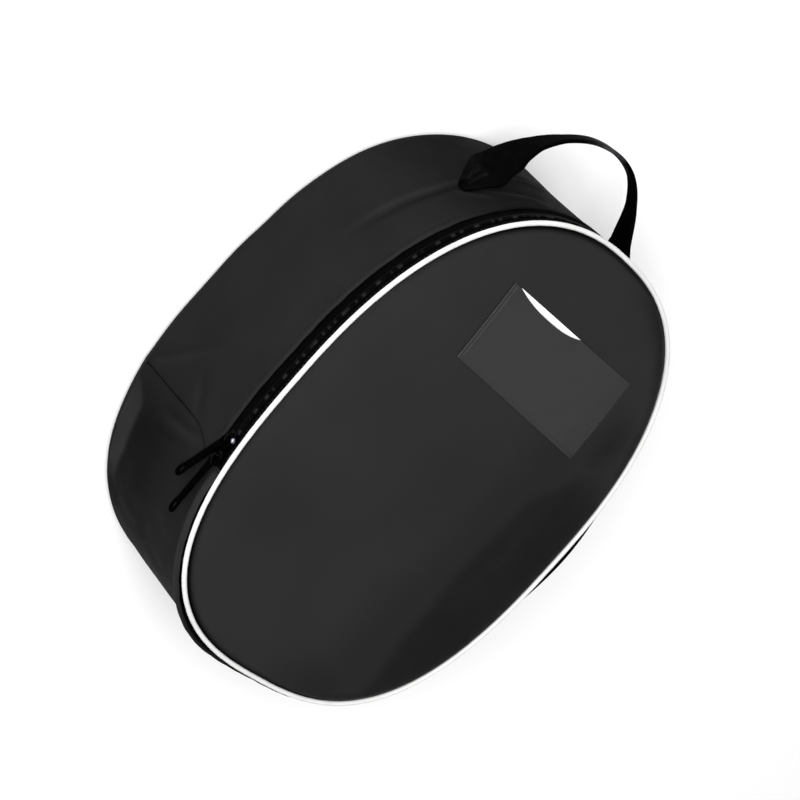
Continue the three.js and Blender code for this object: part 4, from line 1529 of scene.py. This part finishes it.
@dataclass
class Handle:
    """A strap sewn to the gusset at two pointed ends and folded in three at the grip.

    Across the strap, a flat core lies between two flaps; each flap turns inwards round a bend and
    then runs straight. The core narrows and the flaps close from the ends towards the grip.
    """

    wall: Wall
    width: float = 0.046
    grip_width: float = 0.010
    grip_cloth: float = 0.028
    webbing: float = 0.0011
    tip_width: float = 0.009
    point_length: float = 0.030
    entry: float = 0.012
    leaving: float = 0.009
    left: HandleEnd = HandleEnd(-1, 0.110, 0.089, 0.084, 0.067)
    right: HandleEnd = HandleEnd(1, 0.092, 0.078, 0.064, 0.074)
    arch: tuple[ArchRow, ...] = (
        ArchRow(-0.079, 0.203, 0.0630, 0.036),
        ArchRow(-0.069, 0.222, 0.0642, 0.019),
        ArchRow(-0.053, 0.239, 0.0660, 0.010),
        ArchRow(-0.029, 0.253, 0.0660, 0.010),
        ArchRow(0.000, 0.258, 0.0660, 0.010),
        ArchRow(0.021, 0.253, 0.0670, 0.010),
        ArchRow(0.036, 0.238, 0.0710, 0.013),
        ArchRow(0.051, 0.213, 0.0735, 0.024),
    )
    taper: float = 0.9
    bends: Span = (0.00062, 0.0011)
    core_closes: float = 0.3
    flaps_close: float = 0.6
    bends_clear: float = 0.5
    # Painted highlight on the grip: its strength, its place and reach left of the middle, where it ends and
    # where it starts.
    painted_highlight: float = 38.0
    highlight_x: float = -0.014
    highlight_reach: float = 0.015
    highlight_end: Span = (-0.003, 0.005)
    highlight_start: Span = (0.235, 0.245)
    base_steps: int = 44
    arch_steps: int = 26
    columns: int = 84

    def base_centre(self, end: HandleEnd, along: Array) -> Array:
        """Middle line of the strap where it lies on the gusset, at lengths down one side."""
        tip, lift = (self.wall.outline.along_at_x(x) for x in (end.tip_x, end.lift_x))
        height = end.tip_height + (tip - along) / (tip - lift) * (end.lift_height - end.tip_height)
        return self.wall.point(end.side * along, height, GAP + self.webbing / 2)

    def arch_line(self) -> tuple[Array, Array]:
        """Curve through the arch's rows: a cubic per span with chordal end slopes.

        Returns:
            Points along the arch, both ends on the gusset, and the widths that show there.
        """
        feet = []
        for end in (self.left, self.right):
            lift = self.wall.outline.along_at_x(end.lift_x)
            feet.append(self.base_centre(end, np.array([lift + self.entry, lift])))
        crossing = np.array([[row.x, row.y, row.height] for row in self.arch])
        route = np.concatenate([feet[0], crossing, feet[1][::-1]])
        widths = np.pad([row.width for row in self.arch], 2, constant_values=self.width)
        knots = np.sqrt(np.linalg.norm(np.diff(route, axis=0), axis=1))
        before, here, after = (knots[index:len(knots) - 2 + index, None] for index in (0, 1, 2))
        a, b, c, d = (route[index:len(route) - 3 + index] for index in range(4))
        leave = ((b - a) / before - (c - a) / (before + here) + (c - b) / here) * here
        arrive = ((c - b) / here - (d - b) / (here + after) + (d - c) / after) * here
        t = (np.arange(self.arch_steps) / self.arch_steps)[None, :, None]
        b, c, leave, arrive = (row[:, None] for row in (b, c, leave, arrive))
        spans = b * (1 - 3 * t**2 + 2 * t**3) + c * (3 * t**2 - 2 * t**3)
        spans = spans + leave * (t - 2 * t**2 + t**3) + arrive * (t**3 - t**2)
        shown = widths[1:-2, None] * (1 - t[0, :, 0]) + widths[2:-1, None] * t[0, :, 0]
        return np.concatenate([spans.reshape(-1, 3), route[-2:-1]]), np.append(shown.ravel(), self.width)

    @cached_property
    def rows(self) -> StrapRows:
        """The whole strap from one pointed end to the other, worked out once."""
        lines, widths, outs = [], [], []
        for end in (self.left, self.right):
            tip = self.wall.outline.along_at_x(end.tip_x)
            along = np.linspace(tip, self.wall.outline.along_at_x(end.lift_x), self.base_steps + 1)[:-1]
            share = np.minimum((tip - along) / self.point_length, 1.0)
            lines.append(self.base_centre(end, along))
            widths.append(self.tip_width + (self.width - self.tip_width) * share**self.taper)
            outs.append(self.wall.outline.outward(end.side * along))
        arch, shown = self.arch_line()
        ahead = np.gradient(arch, axis=0)
        out = unit(np.stack([-ahead[:, 1], ahead[:, 0], 0 * ahead[:, 0]], axis=-1))
        grip = (self.width - shown) / (self.width - self.grip_width)
        cloth = self.width + (self.grip_cloth - self.width) * grip
        run = run_of(arch)
        lying = 1 - ease(np.minimum(run, run[-1] - run), 0.0, self.leaving)
        bare = np.zeros(self.base_steps)
        return StrapRows(
            line=np.concatenate([lines[0], arch, lines[1][::-1]]),
            outward=np.concatenate([outs[0], out, outs[1][::-1]]),
            width=np.concatenate([widths[0], cloth, widths[1][::-1]]),
            shown=np.concatenate([widths[0], shown, widths[1][::-1]]),
            grip=np.concatenate([bare, grip, bare]),
            lying=np.concatenate([bare + 1, lying, bare + 1]),
        )

    def folded(self, across: Array, rows: StrapRows) -> tuple[Array, Array]:
        """Where a place across the strap goes when its flaps are turned in.

        Past the core's half width, an arc of the bend's radius turns by the fold's angle, and the rest
        of the flap runs straight on.

        Args:
            across: Distances from the strap's middle, on the flat strap.
            rows: The strap's rows there.

        Returns:
            Distances sideways, and inwards of the core.
        """
        radius = np.where(across < 0, *self.bends)
        core = rows.shown / 2 - radius * ease(rows.grip, 0.0, self.core_closes)
        angle = np.pi * ease(rows.grip, 0.0, self.flaps_close)
        past = np.maximum(np.abs(across) - core, 0.0)
        turn = np.minimum(past / radius, angle)
        straight = past - turn * radius
        aside = np.minimum(np.abs(across), core) + radius * np.sin(turn) + straight * np.cos(angle)
        inward = radius * (1 - np.cos(turn)) + straight * np.sin(angle)
        return np.sign(across) * aside, inward

    def surface(self, share: Array, across: Array) -> Array:
        """Middle surface of the strap.

        Args:
            share: Row numbers along the strap, with parts of a row.
            across: Places across it, from -0.5 to 0.5 of its width.

        Returns:
            Points in the bag's frame.
        """
        rows = self.rows.at(share)
        aside, inward = self.folded(across * rows.width, rows)
        middle = rows.line[..., 2]
        beside = self.nearest(share)
        rest = self.wall.offset(beside, middle + aside) - self.wall.offset(beside, middle)
        out = rest * rows.lying - inward + max(self.bends) * ease(rows.grip, 0.0, self.bends_clear)
        return rows.line + rows.outward * out[..., None] + UP * aside[..., None]

    def nearest(self, share: Array) -> Array:
        """Length round the outline beside a row of the strap."""
        x = self.rows.line[:, 0]
        lengths, points = self.wall.outline.table
        quarter = slice(0, self.wall.outline.samples // 4 + 1)
        reach = np.minimum(np.abs(x), max(self.left.tip_x, self.right.tip_x))
        along = np.sign(x) * np.interp(reach, points[quarter, 0], lengths[quarter])
        return np.interp(share, np.arange(len(x)), along)

    def build(self) -> bpy.types.Object:
        """The strap as a wall with rounded edges."""
        rows = len(self.rows.width)
        edge = self.webbing / 2
        ends = EDGE_SHARES[:-1]
        share = np.concatenate([ends, np.arange(1, rows - 1), rows - 1 - ends[::-1]])
        across = with_edges(-0.5, 0.5, self.columns, edge / self.width)
        across, share = np.meshgrid(across, share)
        points = self.surface(share, across)
        run = run_of(self.rows.line)
        ahead = np.interp(share, np.arange(rows), run)
        width = self.rows.at(share).width
        distance = np.minimum.reduce([(0.5 - np.abs(across)) * width, ahead, run[-1] - ahead])
        half = self.webbing / 2 * rounded(distance, edge)
        flat = np.stack([across * width, ahead], axis=-1)
        return make_mesh("handle_strap", Grid(points, flat).thickened(half))

    def painted_light(self, place: Array) -> Array:
        """Painted highlight on the webbing: far below 0 on the grip, left of its middle.

        Args:
            place: Points in the bag's frame.

        Returns:
            0 as on most of the strap, and less where the highlight is painted.
        """
        x, y, _ = place.T
        highlighted = hump(x - self.highlight_x, self.highlight_reach) * (1 - ease(x, *self.highlight_end))
        return -self.painted_highlight * highlighted * ease(y, *self.highlight_start)

    def dress(self) -> None:
        """Builds the strap."""
        piece = settle(self.build(), WEBBING_FINISH, ["handle"])
        write_painted_light(piece.data, self.painted_light)


@dataclass
class CardPocket:
    """A vinyl pocket sewn to the front along three sides, slack at its upper edge, with a card in it."""

    panel: FrontPanel
    left: float = -0.076
    right: float = 0.079
    bottom_left: float = 0.073
    bottom_right: float = 0.067
    top: float = 0.138
    rim: float = 0.0014
    film: float = 0.0009
    room: float = 0.0013
    spring: float = 0.0032
    mouth_from: float = -0.070
    mouth_to: float = 0.005
    dip: float = 0.0049
    lift: float = 0.0020
    mouth_fullness: float = 2.5
    slack_reach: float = 0.030
    card_margin: float = 0.007
    card: float = 0.0006
    columns: int = 150
    rows: int = 70
    card_columns: int = 60
    card_rows: int = 30

    def mouth_open(self, x: Array) -> Array:
        """How wide open the mouth is: 1 less a power of the distance from its middle, 0 at its ends."""
        share = np.clip((x - self.mouth_from) / (self.mouth_to - self.mouth_from), 0.0, 1.0)
        return 1 - np.abs(2 * share - 1) ** self.mouth_fullness

    def bottom(self, x: Array) -> Array:
        """Where the pocket's bottom seam runs."""
        share = (x - self.left) / (self.right - self.left)
        return self.bottom_left + share * (self.bottom_right - self.bottom_left)

    def lip(self, x: Array) -> Array:
        """Where the pocket's upper edge runs."""
        return self.top - self.dip * self.mouth_open(x)

    def from_seam(self, x: Array, y: Array) -> Array:
        """Distance from the nearest sewn side."""
        return np.minimum.reduce([x - self.left, self.right - x, y - self.bottom(x)])

    def under(self, x: Array, y: Array) -> Array:
        """Height of the film's underside over the front panel.

        Args:
            x: Places across.
            y: Places along.

        Returns:
            A small gap at the sewn rim, room for the card inside it and slack at the mouth.
        """
        room = ease(self.from_seam(x, y) - self.rim, 0.0, self.spring) * (self.room - GAP)
        slack = ease(y, self.top - self.slack_reach, self.top)
        return GAP + room + slack * self.mouth_open(x) * self.lift

    def patch(self, x: Array, y: Array, lift: Array, half: Array, name: str) -> bpy.types.Object:
        """A thin wall over the front panel, at a height above it."""
        middle = np.stack([x, y, self.panel.height(x, y) + lift], axis=-1)
        return make_mesh(name, Grid(middle, np.stack([x, y], axis=-1)).thickened(half))

    def film_piece(self) -> bpy.types.Object:
        """The film, whose rows run from the bottom seam to the lip."""
        edge = self.film / 2
        x = with_edges(self.left, self.right, self.columns, edge)
        share = with_edges(0.0, 1.0, self.rows, edge / (self.top - self.bottom_left))
        x, share = np.meshgrid(x, share)
        y = self.bottom(x) + share * (self.lip(x) - self.bottom(x))
        distance = np.minimum(self.from_seam(x, y), self.lip(x) - y)
        half = self.film / 2 * rounded(distance, edge)
        return self.patch(x, y, self.under(x, y) + self.film / 2, half, "pocket_film")

    def rim_of(self, mesh: bpy.types.Mesh) -> None:
        """Gives the faces of the sewn rim a finish of their own, where the film is pressed down."""
        mesh.materials.append(HEM_FINISH.material)
        centres = np.empty(3 * len(mesh.polygons), dtype=np.float32)
        mesh.polygons.foreach_get("center", centres)
        x, y, _ = centres.reshape(-1, 3).T
        sewn = self.from_seam(x, y) < self.rim
        mesh.polygons.foreach_set("material_index", sewn.astype(np.int32))

    def card_piece(self) -> bpy.types.Object:
        """The blank card in the pocket."""
        edge = self.card / 2
        margin = self.card_margin
        x = with_edges(self.left + margin, self.right - margin, self.card_columns, edge)
        y = with_edges(self.bottom_left + margin, self.top, self.card_rows, edge)
        x, y = np.meshgrid(x, y)
        sides = [x - x.min(), x.max() - x, y - y.min(), y.max() - y]
        half = self.card / 2 * rounded(np.minimum.reduce(sides), edge)
        return self.patch(x, y, np.full_like(x, GAP + edge), half, "blank_card")

    def dress(self) -> None:
        film = settle(self.film_piece(), VINYL_FINISH, ["card_window"])
        self.rim_of(film.data)
        settle(self.card_piece(), CARD_FINISH, ["name_card"])


@dataclass
class Stitching:
    """Rows of short stitches: each is a bead of thread that rises out of the cloth and dips back in.

    Tack rows and steps are rows of the strap, and tack sides are shares of its width.
    """

    wall: Wall
    panel: FrontPanel
    zip: Zip
    pocket: CardPocket
    handle: Handle
    length: float = 0.0026
    spacing: float = 0.0034
    thread: float = 0.00032
    pocket_thread: float = 0.00026
    tack_thread: float = 0.0003
    seam_clear: float = 0.004
    hem_drop: float = 0.0045
    hem_lift: float = 0.00035
    tape_drop: float = 0.0015
    tack_first: int = 9
    tack_rows: int = 26
    tack_step: float = 1.6
    tack_upper: Span = (0.04, 0.16)
    tack_lower: Span = (-0.24, -0.04)
    tack_skip: int = 3
    bead_rise: float = 0.4
    bead_lift: float = 0.1
    bead_girth: float = 0.002
    sides: int = 6
    shares: tuple[float, ...] = (-0.5, -0.34, 0.0, 0.34, 0.5)

    def beads(self, starts: Array, ends: Array, out: Array, thread: float) -> list[Grid]:
        """Beads of thread between pairs of points.

        A bead's middle line runs from start to end, raised by part of a thread times 1 - (2 · share)²,
        and its round section swells from nothing at the ends by the root of the same.

        Args:
            starts: Where the stitches start.
            ends: Where they end.
            out: Directions off the surface.
            thread: Radius of the thread.

        Returns:
            One grid for each stitch.
        """
        share = np.array(self.shares)[None, :, None]
        ahead = ends - starts
        side = np.cross(out, unit(ahead))
        arc = 1 - (2 * share) ** 2
        line = (starts + ends)[:, None] / 2 + share * ahead[:, None]
        line = line + out[:, None] * thread * (self.bead_rise * arc + self.bead_lift)
        angle = np.linspace(0.0, 2 * np.pi, self.sides + 1)[:, None]
        radius = thread * np.sqrt(arc)
        section = side[:, None, None] * np.cos(angle) + out[:, None, None] * np.sin(angle)
        beads = line[:, :, None] + radius[..., None] * section
        girth = np.linspace(0, self.bead_girth, self.sides + 1)
        flat = np.stack(np.meshgrid(girth, self.shares), axis=-1)
        return [Grid(bead, flat) for bead in beads]

    def row(self, surface: Line, span: float, thread: float | None = None) -> list[Grid]:
        """A row of stitches along a line on a surface.

        Args:
            surface: Gives points and outward directions for lengths along the row.
            span: The row's length.
            thread: Radius of the thread, if not the usual one.

        Returns:
            One grid for each stitch.
        """
        count = max(int(span / self.spacing), 1)
        middle = (np.arange(count) + 0.5) * span / count
        starts, out = surface(middle - self.length / 2)
        ends, _ = surface(middle + self.length / 2)
        return self.beads(starts, ends, out, thread or self.thread)

    def round_wall(self, height: float, lift: float) -> Line:
        """A line round the upper gusset at one height, from one side seam to the other."""
        seam = self.wall.seam_along

        def surface(length: Array) -> tuple[Array, Array]:
            """Points and outward directions along the line."""
            along = length - seam + self.seam_clear
            points = self.wall.point(along, np.full_like(along, height), lift)
            return points, self.wall.outline.outward(along)

        return surface

    def on_film(self, start: tuple[float, float], end: tuple[float, float]) -> tuple[Line, float]:
        """A straight line on the pocket's film, given by its two ends on the page."""
        first, last = np.array(start), np.array(end)
        span = np.linalg.norm(last - first)

        def surface(length: Array) -> tuple[Array, Array]:
            """Points and upward directions along the line."""
            x, y = (first + (length / span)[:, None] * (last - first)).T
            top = self.panel.height(x, y) + self.pocket.under(x, y) + self.pocket.film
            return np.stack([x, y, top], axis=-1), np.broadcast_to(UP, (len(x), 3))

        return surface, span

    def dress(self) -> None:
        """Sews the hem beside the zip, the pocket's sides and the handle's ends."""
        around = 2 * self.wall.seam_along - 2 * self.seam_clear
        hem = self.row(self.round_wall(self.zip.strip_top - self.hem_drop, self.hem_lift), around)
        hem += self.row(self.round_wall(self.zip.front_top - self.tape_drop, -self.zip.setback), around)
        settle(make_mesh("hem_stitches", hem), THREAD_FINISH)
        pocket, inset = self.pocket, self.pocket.rim / 2
        corners = [
            (pocket.left + inset, pocket.top - inset), (pocket.left + inset, pocket.bottom_left + inset),
            (pocket.right - inset, pocket.bottom_right + inset), (pocket.right - inset, pocket.top - inset),
        ]
        seams = []
        for start, end in zip(corners, corners[1:]):
            surface, span = self.on_film(start, end)
            seams += self.row(surface, span, self.pocket_thread)
        settle(make_mesh("pocket_stitches", seams), POCKET_THREAD_FINISH)
        settle(make_mesh("handle_stitches", self.tacks()), TACK_FINISH)

    def tacks(self) -> list[Grid]:
        """Rows of stitches across each end of the handle, close together."""
        rows = len(self.handle.rows.width)
        made = []
        for first, step in ((self.tack_first, 1), (rows - 1 - self.tack_first, -1)):
            share = first + step * np.arange(0, self.tack_rows, self.tack_step)
            made += self.across_strap(share, *self.tack_upper)
            made += self.across_strap(share[self.tack_skip:], *self.tack_lower)
        return made

    def across_strap(self, share: Array, start: float, end: float) -> list[Grid]:
        """Stitches across the strap, one at each row given, between two places of its width."""
        points = [self.handle.surface(share, np.full_like(share, place)) for place in (start, end)]
        out = self.wall.outline.outward(self.handle.nearest(share))
        lift = out * self.handle.webbing / 2
        return self.beads(points[0] + lift, points[1] + lift, out, self.tack_thread)


@dataclass(frozen=True)
class Lamp:
    """A soft light that faces the bag: its place, its level and slanted sides, its power in watts."""

    name: str
    at: Colour
    size: Span
    power: float


@dataclass
class Stage:
    """Pale floor, soft studio light and the camera at the photograph's angle."""

    floor_half: float = 6.0
    floor_drop: float = 0.0003
    lens: float = 90.0
    sensor: float = 36.0
    camera_at: Colour = (-1.0149, 0.1365, 1.1629)
    camera_right: Colour = (0.5866, 0.6614, 0.4674)
    camera_up: Colour = (-0.4469, 0.7457, -0.4942)
    world_strength: float = 0.18
    floor_colour: Colour = (0.92, 0.92, 0.92)
    lamps: tuple[Lamp, ...] = (
        Lamp("softbox", (1.35, -0.1, 1.85), (4.0, 1.76), 13.4),
        Lamp("key", (-2.3, 0.3, 2.75), (3.0, 3.0), 205.0),
        Lamp("glint", (-1.9, 0.2, 2.6), (0.12, 0.12), 6.0),
    )

    def floor(self) -> None:
        """A wide pale plane just under the bag."""
        side = np.linspace(-self.floor_half, self.floor_half, 3)
        x, y = np.meshgrid(side, side)
        points = np.stack([x, y, np.full_like(x, -self.floor_drop)], axis=-1)
        plane = make_mesh("floor", [Grid(points, points[..., :2])])
        matt = {"Roughness": 0.9, "Specular IOR Level": 0.1}
        recipe = Recipe("pale_floor", {**matt, "Base Color": (*self.floor_colour, 1.0)})
        plane.data.materials.append(recipe.material)
        if plane.data.polygons[0].normal.z < 0:
            plane.data.flip_normals()

    def stand(self, data: bpy.types.ID, at: Colour, right: Array, back: Array) -> bpy.types.Object:
        """Stands a light or a camera at a place.

        Args:
            data: The light or the camera.
            at: Its place.
            right: The direction of its right side.
            back: The direction away from what it faces.

        Returns:
            The new object.
        """
        made = bpy.data.objects.new(data.name, data)
        turn = np.column_stack([right, np.cross(back, right), back])
        made.matrix_world = Matrix.Translation(at) @ Matrix(turn.tolist()).to_4x4()
        bpy.context.scene.collection.objects.link(made)
        return made

    def light(self, lamp: Lamp) -> None:
        """One soft light, turned to the bag."""
        data = bpy.data.lights.new(lamp.name, "AREA")
        data.shape = "RECTANGLE"
        data.size, data.size_y = lamp.size
        data.energy = lamp.power
        back = unit(np.array(lamp.at))
        self.stand(data, lamp.at, unit(np.cross(UP, back)), back)

    def camera(self) -> None:
        """The camera, from its place and the directions of the image's right and up."""
        data = bpy.data.cameras.new("photo_camera")
        data.lens = self.lens
        data.sensor_width = self.sensor
        right = unit(np.array(self.camera_right))
        back = unit(np.cross(right, self.camera_up))
        bpy.context.scene.camera = self.stand(data, self.camera_at, right, back)

    def dress(self) -> None:
        """Sets the whole stage."""
        scene = bpy.context.scene
        scene.view_settings.view_transform = "Standard"
        scene.world = scene.world or bpy.data.worlds.new("studio")
        scene.world.use_nodes = True
        sky = scene.world.node_tree.nodes["Background"]
        sky.inputs["Color"].default_value = (1.0, 1.0, 1.0, 1.0)
        sky.inputs["Strength"].default_value = self.world_strength
        self.floor()
        for lamp in self.lamps:
            self.light(lamp)
        self.camera()


def main() -> None:
    """Sets the stage and builds every sub-assembly in order."""
    logging.basicConfig(level=logging.INFO, format="%(name)s: %(message)s")
    outline = Outline()
    wall = Wall(outline)
    panel = FrontPanel(outline)
    zipper = Zip(wall)
    pocket = CardPocket(panel)
    handle = Handle(wall)
    Stage().dress()
    Piping(outline).dress()
    panel.dress()
    Gusset(wall, Strip.UPPER, top=zipper.strip_top, steps=560, rows=46, hem=0.0006).dress()
    Gusset(wall, Strip.LOWER, top=zipper.front_top, steps=300, rows=64).dress()
    BackPanel(wall).dress()
    zipper.dress()
    # The upper slider carries a painted glint.
    upper = ZipPull(wall, zipper, "upper", Body.UPPER_PULL, y=-0.0668, swing=29.0, lean=1.5, highlighted=1500.0)
    lower = ZipPull(wall, zipper, "lower", Body.LOWER_PULL, y=-0.0828, swing=12.5, lean=1.5)
    for pull in (upper, lower):
        pull.dress()
    handle.dress()
    pocket.dress()
    Stitching(wall, panel, zipper, pocket, handle).dress()


if __name__ == "__main__":
    main()
